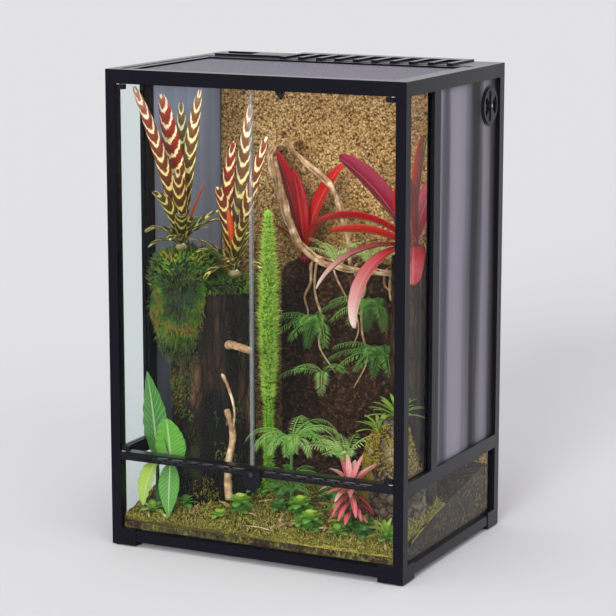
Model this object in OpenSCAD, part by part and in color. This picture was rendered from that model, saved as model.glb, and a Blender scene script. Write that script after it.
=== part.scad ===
// Tall planted reptile terrarium with two front doors, a lift-off screen top and living decor.
// X runs to the right, Y to the back and Z up. The origin is on the floor, midway between the
// outer faces of the four corner posts.

/* [Case] */
// Overall width across the posts
case_w = 600; // [520:10:800]
// Overall depth across the posts
case_d = 450; // [400:10:600]
// Overall height, feet to the raised cable strip
case_h = 900; // [820:10:1100]
// Side of a square corner post
post_w = 20; // [18:1:26]
// Wall of the hollow bars and posts
tube_wall = 1.6; // [1.2:0.1:2.4]
// Height of the top bars
top_bar_h = 26; // [22:1:36]
// Height of the base bars
base_bar_h = 19; // [16:1:26]
// Underside of the base bars above the floor
base_bar_z = 10; // [6:1:16]
// Thickness of the base bars, outside to inside
base_bar_t = 18; // [16:1:18]
// How far the base bars stand back from the face of the feet
base_bar_inset = 1.5; // [0.5:0.5:2]

/* [Feet and corners] */
// Length of each leg of a foot and of a top corner
corner_leg = 50; // [40:1:70]
// Top of the feet above the floor
foot_top = 34; // [31:1:40]
// Height of the rubber pad that shows under a foot
pad_h = 2; // [1:0.5:4]
// Diameter of a rubber pad
pad_d = 15; // [10:1:17]
// Depth of the recess that holds a pad
pad_recess = 1; // [0.5:0.5:2]
// Length of the prongs that plug into the bars and posts
prong_len = 26; // [16:1:40]

/* [Panes] */
// Thickness of the front, rear and door glass
glass_t = 5; // [4:0.5:6]
// Thickness of the side windows and side panels
side_pane_t = 4; // [3:0.5:5]
// Outer face of the side panes behind the outer face of the posts
side_inset = 7; // [5:0.5:9]
// Outer face of the fixed front and rear glass behind the outer face of the posts
glass_inset = 6; // [5.7:0.1:8]
// Thickness of the bottom pane
floor_t = 4; // [3:0.5:6]

/* [Rails] */
// Underside of the front vent rail above the floor
rail_z = 167; // [140:1:220]
// Height of the front vent rail
rail_h = 16; // [14:1:22]
// Wall of the front vent rail
rail_wall = 3; // [2:0.5:3.5]
// Length of the solid block at each end of the vent rail
rail_block = 30; // [24:1:40]
// Length of one vent slot
slot_len = 25; // [16:1:27]
// Height of one vent slot
slot_h = 2.4; // [1.6:0.1:2.6]
// Pitch of the vent slots along the rail
slot_pitch = 32; // [30:1:44]
// Height of a side rail
side_rail_h = 26; // [20:1:32]
// Depth of the side rails and mullions, outside to inside
side_rail_t = 14; // [13:1:18]
// Depth of the groove that holds a side pane
groove = 6; // [4:0.5:8]
// Width of a side mullion
mullion_w = 28; // [22:1:40]
// Centre of the side mullions behind the front face of the case
mullion_y = 136; // [110:1:180]

/* [Doors] */
// Gap between the two doors
door_gap = 2; // [1.6:0.1:4]
// Clearance above and below a door
door_clear = 1.1; // [0.9:0.1:2]
// Distance from a post to the hinge axis
hinge_in = 6; // [5.6:0.2:8]
// Depth of the hinge axis behind the front face of the case
hinge_depth = 4.5; // [4.5:0.1:6]
// Length of a hinge shoe along the door
shoe_len = 13; // [11:1:24]
// Height of a hinge shoe
shoe_h = 9; // [8:1:16]
// Thickness of each cheek of a hinge shoe
shoe_cheek = 1.5; // [1.2:0.1:1.5]
// Diameter of a hinge pin
pin_d = 4; // [3:0.1:4.6]
// Length of a hinge pin below or above its door
pin_len = 8; // [6:0.5:9]
// Radial clearance of a running pin
pin_fit = 0.05; // [0.02:0.01:0.1]
// Outer diameter of a hinge bush
bush_d = 7; // [6.4:0.1:8]
// Wall of the clear seal on the meeting edge
seal_wall = 0.7; // [0.5:0.1:0.7]

/* [Latch] */
// Width of the turning latch
latch_w = 35; // [24:1:40]
// Height of the turning latch
latch_h = 37; // [30:1:44]
// Thickness of the turning latch
latch_t = 5.6; // [4:0.2:8]
// Height of the latch pivot above the underside of the vent rail
latch_pivot = 5; // [5:1:9]
// Material above the latch pivot
latch_over = 6; // [5:1:8]
// Diameter of the latch pivot pin
latch_pin_d = 5; // [4:0.5:6]
// Thickness of the washer behind the latch
washer_t = 1; // [0.6:0.1:2]
// Thickness of the head of a pivot pin
pin_head_t = 1.6; // [1:0.1:3]
// Width of the catch over the right door
catch_w = 19; // [12:1:26]
// Height of the catch over the right door
catch_h = 16; // [10:1:20]
// Distance of the catch from the middle of the case
catch_x = 42; // [20:1:80]

/* [Top] */
// How far the cable strip stands above the frame
strip_rise = 4; // [3.6:0.1:6]
// Depth of the cable strip in front of the rear bar
strip_d = 85; // [80:1:110]
// Thickness of the cable strip and of the screen frame
lid_t = 8; // [6:0.5:12]
// Width of the screen frame members
screen_bar = 16; // [12:1:24]
// How far the screen frame lies below the top of the case
screen_drop = 1; // [0.5:0.5:3]
// Thickness of the wire screen
mesh_t = 0.8; // [0.6:0.1:1.2]
// openings across the screen's mesh
screen_holes = 12; // [6:1:12]
// width of the strands between those openings, and of their border
screen_strand = 6; // [5:0.5:8]
// Width of the ledge that carries the screen and the strip
ledge_w = 6; // [4:1:8]
// Thickness of the ledge
ledge_t = 2; // [1.5:0.5:3]
// Pitch of the ribs on the cable strip
rib_pitch = 38.5; // [34:0.5:60]
// Width of a rib on the cable strip
rib_w = 12; // [6:1:16]
// Width of a vent slit between the ribs
slit_w = 3.4; // [2:0.2:3.8]
// Width of the cable inlet
inlet_w = 60; // [40:1:62]
// Depth of the cable inlet
inlet_d = 40; // [24:1:42]
// Thickness of the sliding plate over the cable inlet
shutter_t = 2.3; // [1.6:0.1:2.4]

/* [Hose port] */
// Diameter of the hole in the right side panel
port_d = 68; // [56:1:80]
// Gap between the rim of the port and the rear post
port_gap = 1; // [0.5:0.5:20]
// Gap between the rim of the port and the top bar
port_drop = 12; // [2:1:60]
// Width of the rim outside the hole
port_rim = 4; // [3:0.5:6]
// Thickness of the collar plate, the shutter disc and the rim
port_t = 2; // [1.6:0.1:2]
// Height of the grip on the shutter disc
grip_h = 2.2; // [1.6:0.1:2.2]
// Angle of each of the two windows in the port
port_window = 80; // [50:1:84]
// Diameter of the rivet that the shutter disc turns on
rivet_d = 6; // [4:0.5:8]

/* [Planting] */
// Thickness of the granular background panel
back_t = 18; // [12:1:30]
// Depth of soil along the front glass
soil_front = 12; // [8:1:40]
// Depth of soil halfway back
soil_mid = 62; // [40:1:90]
// Depth of soil along the background
soil_rear = 96; // [70:1:140]
// Thickness of the moss carpet
moss_t = 9; // [6:1:16]
// Radius of a root ball
root_r = 11; // [8:1:14]
// Depth of a planting hole
root_deep = 16; // [8:1:24]
// Gap between pieces that only rest against each other
seat = 0.3; // [0.2:0.05:0.6]
// Mean radius of the cork trunk, side to side
trunk_r = 76; // [60:1:82]
// Top of the cork trunk above the floor
trunk_top = 500; // [420:10:540]
// Top of the bark bank above the floor
bank_top = 500; // [440:10:540]
// Thickness of the bark bank, front to back
bank_deep = 84; // [60:2:100]
// Radius of the cork stump on the right
stump_r = 42; // [34:1:46]
// Top of the cork stump above the floor
stump_top = 560; // [480:10:600]

/* [Hidden] */
$fn = 48;

// Frame levels and faces
half_w = case_w / 2;
half_d = case_d / 2;
frame_top = case_h - strip_rise;
bar_under = frame_top - top_bar_h;
base_top = base_bar_z + base_bar_h;
in_w = half_w - post_w;
in_d = half_d - post_w;
prong_slack = 0.3;
rail_top = rail_z + rail_h;
side_rail_top = rail_top + 1;
side_rail_z = side_rail_top - side_rail_h;
pane_x = half_w - side_inset - side_pane_t;
glass_y = half_d - glass_inset - glass_t;
floor_top = base_top + floor_t;
mull_front = mullion_y - half_d - mullion_w / 2;
mull_back = mull_front + mullion_w;
groove_w = side_pane_t + 2 * seat;

// Doors
hinge_x = in_w - hinge_in;
hinge_y = hinge_depth - half_d;
shoe_t = glass_t + 2 * shoe_cheek;
bush_flange_d = bush_d + 2;
bush_flange_t = 0.8;
bush_len = 8;
shoe_z = rail_top + door_clear;
shoe_end = bar_under - door_clear;
door_z = shoe_z + shoe_cheek;
door_end = shoe_end - shoe_cheek;
glass_tail = 2;

// Latch
latch_z = rail_z + latch_pivot;
latch_back = -half_d - washer_t - seat;
latch_block = latch_pin_d + 12;

// Top
screen_top = frame_top - screen_drop;
strip_front = in_d - strip_d;
inlet_x = -in_w + 18;
inlet_y = strip_front + (strip_d - inlet_d) / 2;
shutter_len = inlet_w + 10;
shutter_x = inlet_x + inlet_w + 9;
shutter_lip = 3;
shutter_d = inlet_d + 4 * shutter_lip;
guide_wall = 5;
guide_end = shutter_x + shutter_len + 1;
rib_start = guide_end + 2;
rib_count = floor((in_w - 30 - rib_start) / rib_pitch);

// Hose port
port_y = in_d - port_gap - port_rim - port_d / 2;
port_z = bar_under - port_drop - port_rim - port_d / 2;
port_in = 10;
port_out = port_d / 2 - 6;

// Planting
back_y = in_d - seat - back_t;
soil_back = back_y - seat;
soil_w = pane_x - seat;
soil_fy = -glass_y + seat;
soil_floor = floor_top + seat;
mid_y = (soil_fy + soil_back) / 2;
bank_back = back_y - seat;
bank_front = bank_back - bank_deep;
left = -pane_x;
right = pane_x;
front = -glass_y;
trunk_at = [left + 129, front + 134];
stump_at = [right - 63, front + 198];
rock_at = [right - 75, front + 130];

// Height of the soil surface at a place front to back
function soil_z(y) = soil_floor + (y < mid_y
    ? soil_front + (soil_mid - soil_front) * (y - soil_fy) / (mid_y - soil_fy)
    : soil_mid + (soil_rear - soil_mid) * (y - mid_y) / (soil_back - mid_y));

// ---------- shared shapes ----------

// A box given by its lowest and highest corners
module block(lo, hi) {
    translate(lo) cube(hi - lo);
}

// Copies the children to both sides of the case
module both_sides() {
    children();
    mirror([1, 0, 0]) children();
}

// Copies the children to all four corners of the case
module four_corners() {
    both_sides() {
        children();
        mirror([0, 1, 0]) children();
    }
}

// A hollow bar between two corners, open along one axis (0 = X, 1 = Y, 2 = Z)
module hollow_bar(lo, hi, axis) {
    inner = [for (i = [0:2]) i == axis ? 1 : -tube_wall];
    difference() {
        block(lo, hi);
        block(lo - inner, hi + inner);
    }
}

// Steps along a curve that starts at angle e0 above level and droops by bend degrees
function arc_out(len, e0, bend, t) = len * (sin(e0) - sin(e0 - bend * t)) * 180 / (PI * bend);
function arc_up(len, e0, bend, t) = len * (cos(e0 - bend * t) - cos(e0)) * 180 / (PI * bend);

// One leaf or frond: a blade of four-sided section along a drooping arc. shape is
// [heading, rise, droop, length, width, turn]: it sets out at the rise angle, ends lower by the
// droop angle, and turn rolls it about its own length. peak is where it is widest.
module blade(at, shape, thick = 2.4, peak = 0.5, fold = 0.25, steps = 7) {
    az = shape[0];
    len = shape[3];
    turn = shape[5];
    level = [-sin(az), cos(az), 0];
    function half_wide(t) = max(0.5, shape[4] / 2 * pow(sin(180 * pow(t, ln(0.5) / ln(peak))), 0.6));
    function mid(t) = at + arc_out(len, shape[1], shape[2], t) * [cos(az), sin(az), 0]
        + [0, 0, arc_up(len, shape[1], shape[2], t)];
    function rise(t) = let (e = shape[1] - shape[2] * t) [-sin(e) * cos(az), -sin(e) * sin(az), cos(e)];
    function side(t) = cos(turn) * level + sin(turn) * rise(t);
    function up(t) = cos(turn) * rise(t) - sin(turn) * level;
    ring = [for (i = [0:steps]) let (t = min(0.98, i / steps), h = half_wide(t), k = thick / 2 * (1 - 0.6 * t))
        each [mid(t) - h * side(t) + fold * h * up(t), mid(t) + k * up(t),
              mid(t) + h * side(t) + fold * h * up(t), mid(t) - k * up(t)]];
    walls = [for (i = [0:steps - 1], j = [0:3]) let (a = 4 * i + j, b = 4 * i + (j + 1) % 4)
        each [[a, b, a + 4], [b, b + 4, a + 4]]];
    last = 4 * steps;
    polyhedron(ring, concat([[0, 3, 1], [1, 3, 2]], walls,
        [[last, last + 1, last + 3], [last + 1, last + 2, last + 3]]), convexity = 4);
}

// A plant: a round crown with its blades
module rosette(at, crown_r, shapes, thick = 2.4, peak = 0.5) {
    translate(at) sphere(r = crown_r, $fn = 20);
    for (s = shapes) blade(at, s, thick = thick, peak = peak);
}

// A lumpy column whose rings are wavy ellipses. The radius share runs from foot to tip up the
// column, ease bends that run, bulge swells the middle, lobes and wave make the bumps.
module lump(at, z0, z1, rx, ry, lobes = 5, wave = 0.08, bulge = 0, foot = 1, tip = 1, ease = 1,
            grow = 0, around = 20, levels = 7) {
    function share(t) = (foot + (tip - foot) * pow(t, ease)) * (1 + bulge * sin(180 * t));
    function wavy(a, t) = 1 + wave * sin(lobes * a + 150 * t) + wave / 2 * cos(3 * a - 200 * t);
    low = z0 - grow;
    tall = z1 - z0 + 2 * grow;
    pts = [for (k = [0:levels], j = [0:around - 1]) let (t = k / levels, a = 360 * j / around,
            s = share(t) * wavy(a, t))
        [at[0] + (rx * s + grow) * cos(a), at[1] + (ry * s + grow) * sin(a), low + tall * t]];
    walls = [for (k = [0:levels - 1], j = [0:around - 1])
        let (a = k * around + j, b = k * around + (j + 1) % around)
        each [[a, a + around, b], [b, a + around, b + around]]];
    polyhedron(pts, concat([[for (j = [0:around - 1]) j]], walls,
        [[for (j = [around - 1:-1:0]) levels * around + j]]), convexity = 4);
}

// A tube along points, its radius easing from r0 to r1
module vine(path, r0, r1, sides = 8) {
    n = len(path) - 1;
    function run(i) = path[min(n, i + 1)] - path[max(0, i - 1)];
    pts = [for (i = [0:n]) let (d = run(i) / norm(run(i)), s = cross(d, [0, 1, 0.2]),
            u = s / norm(s), v = cross(u, d), r = r0 + (r1 - r0) * i / n)
        each [for (j = [0:sides - 1]) path[i] + r * (cos(360 * j / sides) * u + sin(360 * j / sides) * v)]];
    walls = [for (i = [0:n - 1], j = [0:sides - 1])
        let (a = i * sides + j, b = i * sides + (j + 1) % sides)
        each [[a, b, a + sides], [b, b + sides, a + sides]]];
    polyhedron(pts, concat([[for (j = [sides - 1:-1:0]) j]], walls,
        [[for (j = [0:sides - 1]) n * sides + j]]), convexity = 6);
}

// A root ball standing in a planting hole, and the hole for it
module root_ball(at, top) {
    foot = at[2] - root_deep + seat;
    translate([at[0], at[1], foot]) cylinder(r = root_r, h = top - foot);
}
module planting_hole(at) {
    translate([at[0], at[1], at[2] - root_deep]) cylinder(r = root_r + seat, h = 3 * root_deep);
}

// ---------- frame ----------

module base_bars() {
    out_x = half_w - base_bar_inset;
    out_y = half_d - base_bar_inset;
    color("#26252d") {
        both_sides() hollow_bar([out_x - base_bar_t, corner_leg - half_d, base_bar_z],
            [out_x, half_d - corner_leg, base_top], 1);
        for (m = [0, 1]) mirror([0, m, 0])
            hollow_bar([corner_leg - half_w, -out_y, base_bar_z],
                [half_w - corner_leg, base_bar_t - out_y, base_top], 0);
    }
}

// One foot: the stub under a post, two legs with a low outer wall, and three prongs
module foot() {
    leg = base_bar_t + base_bar_inset;
    wall = glass_inset - seat;
    slack = tube_wall + prong_slack;
    inset = base_bar_inset + slack;
    difference() {
        union() {
            block([-half_w, -half_d, pad_h], [post_w - half_w, post_w - half_d, foot_top]);
            block([-half_w, -half_d, pad_h], [corner_leg - half_w, leg - half_d, base_top]);
            block([-half_w, -half_d, pad_h], [leg - half_w, corner_leg - half_d, base_top]);
            block([-half_w, -half_d, pad_h], [corner_leg - half_w, wall - half_d, foot_top]);
            block([-half_w, -half_d, pad_h], [wall - half_w, corner_leg - half_d, foot_top]);
            block([post_w - half_w, inset - half_d, base_bar_z + slack],
                [corner_leg + prong_len - half_w, leg - slack - half_d, base_top - slack]);
            block([inset - half_w, post_w - half_d, base_bar_z + slack],
                [leg - slack - half_w, corner_leg + prong_len - half_d, base_top - slack]);
            block([slack - half_w, slack - half_d, base_bar_z],
                [post_w - slack - half_w, post_w - slack - half_d, foot_top + prong_len]);
        }
        translate([post_w / 2 - half_w, post_w / 2 - half_d, pad_h - 1])
            cylinder(d = pad_d, h = 1 + pad_recess);
    }
}

module corner_feet() {
    color("#2c2b33") four_corners() foot();
}

module foot_pads() {
    color("#1c1c1e") four_corners()
        translate([post_w / 2 - half_w, post_w / 2 - half_d, 0])
            cylinder(d = pad_d - 2 * pin_fit, h = pad_h + pad_recess);
}

// A corner post, right = 1 or -1 and back = 1 or -1
module post(right, back) {
    color("#24232b") mirror([right > 0 ? 1 : 0, 0, 0]) mirror([0, back > 0 ? 1 : 0, 0])
        hollow_bar([-half_w, -half_d, foot_top], [post_w - half_w, post_w - half_d, bar_under], 2);
}
module front_left_post() { post(-1, -1); }
module front_right_post() { post(1, -1); }
module rear_left_post() { post(-1, 1); }
module rear_right_post() { post(1, 1); }

module top_bars() {
    ledge_top = screen_top - lid_t - seat;
    color("#26252d") {
        both_sides() {
            hollow_bar([in_w, corner_leg - half_d, bar_under], [half_w, half_d - corner_leg, frame_top], 1);
            block([in_w - ledge_w, corner_leg - half_d, ledge_top - ledge_t],
                [in_w, half_d - corner_leg, ledge_top]);
        }
        for (m = [0, 1]) mirror([0, m, 0]) {
            hollow_bar([corner_leg - half_w, -half_d, bar_under],
                [half_w - corner_leg, post_w - half_d, frame_top], 0);
            block([corner_leg - half_w, -in_d, ledge_top - ledge_t],
                [half_w - corner_leg, ledge_w - in_d, ledge_top]);
        }
    }
}

// One top corner: an L of two legs, with prongs into the bars and the post
module top_corner(bored) {
    slack = tube_wall + prong_slack;
    difference() {
        union() {
            block([-half_w, -half_d, bar_under], [corner_leg - half_w, post_w - half_d, frame_top]);
            block([-half_w, -half_d, bar_under], [post_w - half_w, corner_leg - half_d, frame_top]);
            block([post_w - half_w, slack - half_d, bar_under + slack],
                [corner_leg + prong_len - half_w, post_w - slack - half_d, frame_top - slack]);
            block([slack - half_w, post_w - half_d, bar_under + slack],
                [post_w - slack - half_w, corner_leg + prong_len - half_d, frame_top - slack]);
            block([slack - half_w, slack - half_d, bar_under - prong_len],
                [post_w - slack - half_w, post_w - slack - half_d, frame_top - slack]);
        }
        if (bored) translate([-hinge_x, hinge_y, bar_under - 1])
            cylinder(d = bush_d, h = bush_len + 1);
    }
}

module top_corners() {
    color("#302f38") both_sides() {
        top_corner(true);
        mirror([0, 1, 0]) top_corner(false);
    }
}

module bottom_pane() {
    edge = glass_y - seat;
    side = pane_x - seat;
    color("#9fb4b4") difference() {
        block([-side, -edge, base_top], [side, edge, floor_top]);
        four_corners() block([-side - 1, -edge - 1, base_top - 1],
            [post_w + seat - half_w, post_w + seat - half_d, floor_top + 1]);
    }
}

// ---------- rails and mullions ----------

module front_vent_rail() {
    lo = seat - in_w;
    hi = in_w - seat;
    rows = [-1, 0, 1];
    row_gap = (rail_h - 2 * rail_wall) / 3;
    usable = 2 * (in_w - rail_block) - slot_len;
    count = floor(usable / slot_pitch);
    color("#2a2931") difference() {
        block([lo, -half_d, rail_z], [hi, -in_d, rail_top]);
        for (side = [-1, 1]) {
            edge = latch_block / 2;
            far = in_w - rail_block;
            block([side > 0 ? edge : -far, rail_wall - half_d, rail_z + rail_wall],
                [side > 0 ? far : -edge, 1 - in_d, rail_top - rail_wall]);
        }
        for (r = rows, i = [0:count - 1]) {
            x = -count * slot_pitch / 2 + i * slot_pitch + (r + 1) * slot_pitch / 3;
            z = rail_z + rail_h / 2 + r * row_gap;
            if (abs(x + slot_len / 2) > (slot_len + latch_block) / 2)
                block([x, -half_d - 1, z - slot_h / 2],
                    [x + slot_len, rail_wall - half_d + 1, z + slot_h / 2]);
        }
        both_sides() translate([hinge_x, hinge_y, rail_top - bush_len])
            cylinder(d = bush_d, h = bush_len + 1);
        translate([0, -half_d - 1, latch_z]) rotate([-90, 0, 0])
            cylinder(d = latch_pin_d + 2 * pin_fit, h = post_w - 3);
    }
}

module front_vent_mesh() {
    y = -in_d - 3;
    z0 = rail_z + rail_wall + seat;
    z1 = rail_top - rail_wall - seat;
    color("#4a4a52") for (side = [-1, 1]) {
        near = side * (latch_block / 2 + seat);
        far = side * (in_w - rail_block - seat);
        block([min(near, far), y, z0], [max(near, far), y + mesh_t, z1]);
    }
}

module side_rail(right) {
    y0 = seat - in_d;
    y1 = in_d - seat;
    groove_x = half_w - side_inset - side_pane_t - seat;
    color("#26252d") mirror([right > 0 ? 0 : 1, 0, 0]) difference() {
        block([half_w - side_rail_t, y0, side_rail_z], [half_w, y1, side_rail_top]);
        block([groove_x, y0 - 1, side_rail_z - 1], [groove_x + groove_w, y1 + 1, side_rail_z + groove]);
        block([groove_x, y0 - 1, side_rail_top - groove], [groove_x + groove_w, y1 + 1, side_rail_top + 1]);
    }
}
module left_side_rail() { side_rail(-1); }
module right_side_rail() { side_rail(1); }

module mullion(right) {
    groove_x = half_w - side_inset - side_pane_t - seat;
    color("#24232b") mirror([right > 0 ? 0 : 1, 0, 0]) difference() {
        block([half_w - side_rail_t, mull_front, side_rail_top], [half_w, mull_back, bar_under]);
        block([groove_x, mull_front - 1, side_rail_top - 1],
            [groove_x + groove_w, mull_front + groove, bar_under + 1]);
        block([groove_x, mull_back - groove, side_rail_top - 1],
            [groove_x + groove_w, mull_back + 1, bar_under + 1]);
    }
}
module left_mullion() { mullion(-1); }
module right_mullion() { mullion(1); }

// ---------- panes ----------

// A pane in a side wall, from y0 to y1 and z0 to z1
module side_pane(right, y0, y1, z0, z1) {
    mirror([right > 0 ? 0 : 1, 0, 0]) block([pane_x, y0, z0], [pane_x + side_pane_t, y1, z1]);
}
side_low = side_rail_top - groove + seat;
side_high = bar_under - seat;

module left_window() {
    color("#c7d6d8", 0.4) side_pane(-1, seat - in_d, mull_front + groove - seat, side_low, side_high);
}
module right_window() {
    color("#c7d6d8", 0.4) side_pane(1, seat - in_d, mull_front + groove - seat, side_low, side_high);
}
module left_side_panel() {
    color("#8c8796") side_pane(-1, mull_back - groove + seat, in_d - seat, side_low, side_high);
}
module right_side_panel() {
    color("#8c8796") difference() {
        side_pane(1, mull_back - groove + seat, in_d - seat, side_low, side_high);
        translate([pane_x - 1, port_y, port_z]) rotate([0, 90, 0]) cylinder(d = port_d, h = side_pane_t + 2);
    }
}
module left_lower_pane() {
    color("#c7d6d8", 0.4) side_pane(-1, seat - in_d, in_d - seat, base_top, side_rail_z + groove - seat);
}
module right_lower_pane() {
    color("#c7d6d8", 0.4) side_pane(1, seat - in_d, in_d - seat, base_top, side_rail_z + groove - seat);
}
module rear_glass() {
    color("#c7d6d8", 0.4)
        block([seat - in_w, glass_y, base_top], [in_w - seat, glass_y + glass_t, side_high]);
}
module front_lower_glass() {
    color("#c7d6d8", 0.4)
        block([seat - in_w, -glass_y - glass_t, base_top], [in_w - seat, -glass_y, rail_z - seat]);
}

// ---------- doors ----------

// The pane of the left door, from the tail behind its hinge axis to the meeting edge
module door_pane() {
    block([-hinge_x - glass_tail, hinge_y - glass_t / 2, door_z],
        [-door_gap / 2, hinge_y + glass_t / 2, door_end]);
}
module left_door_glass() {
    color("#d3e2e4", 0.35) door_pane();
}
module right_door_glass() {
    color("#d3e2e4", 0.35) mirror([1, 0, 0]) door_pane();
}

// One hinge shoe of the left door: a capped channel over the corner of the glass
module shoe(z0, z1, pin_from) {
    tail = shoe_t / 2;
    difference() {
        union() {
            translate([-hinge_x, hinge_y, z0]) cylinder(r = tail, h = z1 - z0);
            block([-hinge_x, hinge_y - tail, z0], [shoe_len - hinge_x, hinge_y + tail, z1]);
        }
        block([-hinge_x - glass_tail, hinge_y - glass_t / 2, pin_from > 0 ? z0 - 1 : z0 + shoe_cheek],
            [shoe_len + 1 - hinge_x, hinge_y + glass_t / 2, pin_from > 0 ? z1 - shoe_cheek : z1 + 1]);
        translate([-hinge_x, hinge_y, pin_from > 0 ? z1 - shoe_cheek - 1 : z0 - 1])
            cylinder(d = pin_d + 2 * pin_fit, h = shoe_cheek + 2);
    }
}
module door_shoes() {
    shoe(shoe_z, shoe_z + shoe_h, -1);
    shoe(shoe_end - shoe_h, shoe_end, 1);
}
module left_hinge_shoes() {
    color("#1f1f24") door_shoes();
}
module right_hinge_shoes() {
    color("#1f1f24") mirror([1, 0, 0]) door_shoes();
}

// The two pins of the left door, each ending against the edge of the glass
module door_pins() {
    for (z = [door_z - pin_len, door_end]) translate([-hinge_x, hinge_y, z]) cylinder(d = pin_d, h = pin_len);
}
module left_hinge_pins() {
    color("#b9bcc2") door_pins();
}
module right_hinge_pins() {
    color("#b9bcc2") mirror([1, 0, 0]) door_pins();
}

// A flanged bush, flange on top
module bush() {
    difference() {
        union() {
            translate([0, 0, -bush_len + seat]) cylinder(d = bush_d - 2 * pin_fit, h = bush_len - seat);
            cylinder(d = bush_flange_d, h = bush_flange_t);
        }
        translate([0, 0, -bush_len]) cylinder(d = pin_d + 2 * pin_fit, h = bush_len + bush_flange_t + 1);
    }
}
module hinge_bushes() {
    color("#d8d6cc") both_sides() {
        translate([-hinge_x, hinge_y, rail_top]) bush();
        translate([-hinge_x, hinge_y, bar_under]) mirror([0, 0, 1]) bush();
    }
}

// Clear channel on the meeting edge of the left door
module door_seal() {
    slot_in = 5;
    edge = -door_gap / 2;
    color("#dfe8ea", 0.6) difference() {
        block([edge - slot_in, hinge_y - glass_t / 2 - seal_wall, door_z + shoe_cheek],
            [edge + seal_wall, hinge_y + glass_t / 2 + seal_wall, door_end - shoe_cheek]);
        block([edge - slot_in - 1, hinge_y - glass_t / 2, door_z],
            [edge, hinge_y + glass_t / 2, door_end]);
    }
}

// Wedge under the top bar that the doors close against
module door_catch() {
    back = hinge_y + glass_t / 2 + seat;
    color("#17171b") translate([catch_x, back + 9, bar_under]) rotate([90, 0, 0])
        linear_extrude(9) polygon([[0, 0], [0.62 * catch_w, -catch_h], [catch_w, 0]]);
}

// ---------- latch ----------

module latch_washer() {
    color("#8f9097") translate([0, -half_d, latch_z]) rotate([90, 0, 0]) difference() {
        cylinder(d = latch_pin_d + 6, h = washer_t);
        translate([0, 0, -1]) cylinder(d = latch_pin_d + 4 * pin_fit, h = washer_t + 2);
    }
}

// Turning latch, hanging: square shoulders above, round below
module latch_paddle() {
    low = latch_h - latch_over - latch_w / 2;
    color("#18181c") translate([0, latch_back, latch_z]) rotate([90, 0, 0]) difference() {
        union() {
            translate([-latch_w / 2, -low, 0]) cube([latch_w, low + latch_over, latch_t]);
            translate([0, -low, 0]) cylinder(d = latch_w, h = latch_t);
        }
        translate([0, 0, -1]) cylinder(d = latch_pin_d + 2 * pin_fit, h = latch_t + 2);
    }
}

module latch_pin() {
    head = latch_back - latch_t - seat;
    color("#b9bcc2") translate([0, head - pin_head_t, latch_z]) rotate([-90, 0, 0]) {
        cylinder(d = latch_pin_d + 4, h = pin_head_t);
        cylinder(d = latch_pin_d, h = pin_head_t + seat + latch_t + seat + washer_t + post_w - 5);
    }
}

// ---------- top ----------

module screen_frame() {
    out_x = in_w - seat;
    y0 = seat - in_d;
    y1 = strip_front - seat;
    z0 = screen_top - lid_t;
    mid_z = z0 + lid_t / 2;
    color("#2e2d36") difference() {
        block([-out_x, y0, z0], [out_x, y1, screen_top]);
        block([screen_bar - out_x, y0 + screen_bar, z0 - 1],
            [out_x - screen_bar, y1 - screen_bar, screen_top + 1]);
        block([screen_bar - out_x - groove, y0 + screen_bar - groove, mid_z - mesh_t],
            [out_x - screen_bar + groove, y1 - screen_bar + groove, mid_z + mesh_t]);
    }
}

// Coarse square openings, cut where the woven wire lets air through
module screen_mesh() {
    out_x = in_w - seat - screen_bar + groove - seat;
    y0 = seat - in_d + screen_bar - groove + seat;
    y1 = strip_front - seat - screen_bar + groove - seat;
    mid_z = screen_top - lid_t / 2;
    rows = round(screen_holes * (y1 - y0) / (2 * out_x));
    step_x = (2 * out_x - screen_strand) / screen_holes;
    step_y = (y1 - y0 - screen_strand) / rows;
    open_x = step_x - screen_strand;
    open_y = step_y - screen_strand;
    color("#9a98a4", 0.8) difference() {
        block([-out_x, y0, mid_z - mesh_t / 2], [out_x, y1, mid_z + mesh_t / 2]);
        for (i = [0:screen_holes - 1], j = [0:rows - 1]) {
            x = screen_strand - out_x + i * step_x;
            y = y0 + screen_strand + j * step_y;
            block([x, y, mid_z - mesh_t], [x + open_x, y + open_y, mid_z + mesh_t]);
        }
    }
}

// Deck behind the screen: ribs with slits between them, the cable inlet and its two guides
module cable_strip() {
    out_x = in_w - seat;
    y0 = strip_front;
    y1 = in_d - seat;
    z0 = screen_top - lid_t;
    guide_y = inlet_y + inlet_d / 2;
    color("#2e2d36") difference() {
        union() {
            block([-out_x, y0, z0], [out_x, y1, frame_top]);
            for (i = [0:rib_count]) block([rib_start + i * rib_pitch, y0, frame_top],
                [rib_start + i * rib_pitch + rib_w, half_d - 1, case_h]);
            block([rib_start, y1 - 8, frame_top],
                [rib_start + rib_count * rib_pitch + rib_w, half_d - 1, case_h]);
            for (s = [-1, 1]) {
                near = guide_y + s * (shutter_d / 2 + seat);
                far = near + s * guide_wall;
                lip = near - s * shutter_lip;
                block([inlet_x - 6, min(near, far), frame_top], [guide_end, max(near, far), case_h]);
                block([inlet_x - 6, min(lip, far), frame_top + shutter_t + 2 * seat],
                    [guide_end, max(lip, far), case_h]);
            }
        }
        block([inlet_x, inlet_y, z0 - 1], [inlet_x + inlet_w, inlet_y + inlet_d, frame_top + 1]);
        for (i = [0:rib_count - 1], k = [1:3]) {
            gap = rib_pitch - rib_w;
            x = rib_start + i * rib_pitch + rib_w + k * gap / 4;
            block([x - slit_w / 2, y0 + 14, z0 - 1], [x + slit_w / 2, y1 - 14, frame_top + 1]);
        }
    }
}

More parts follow.
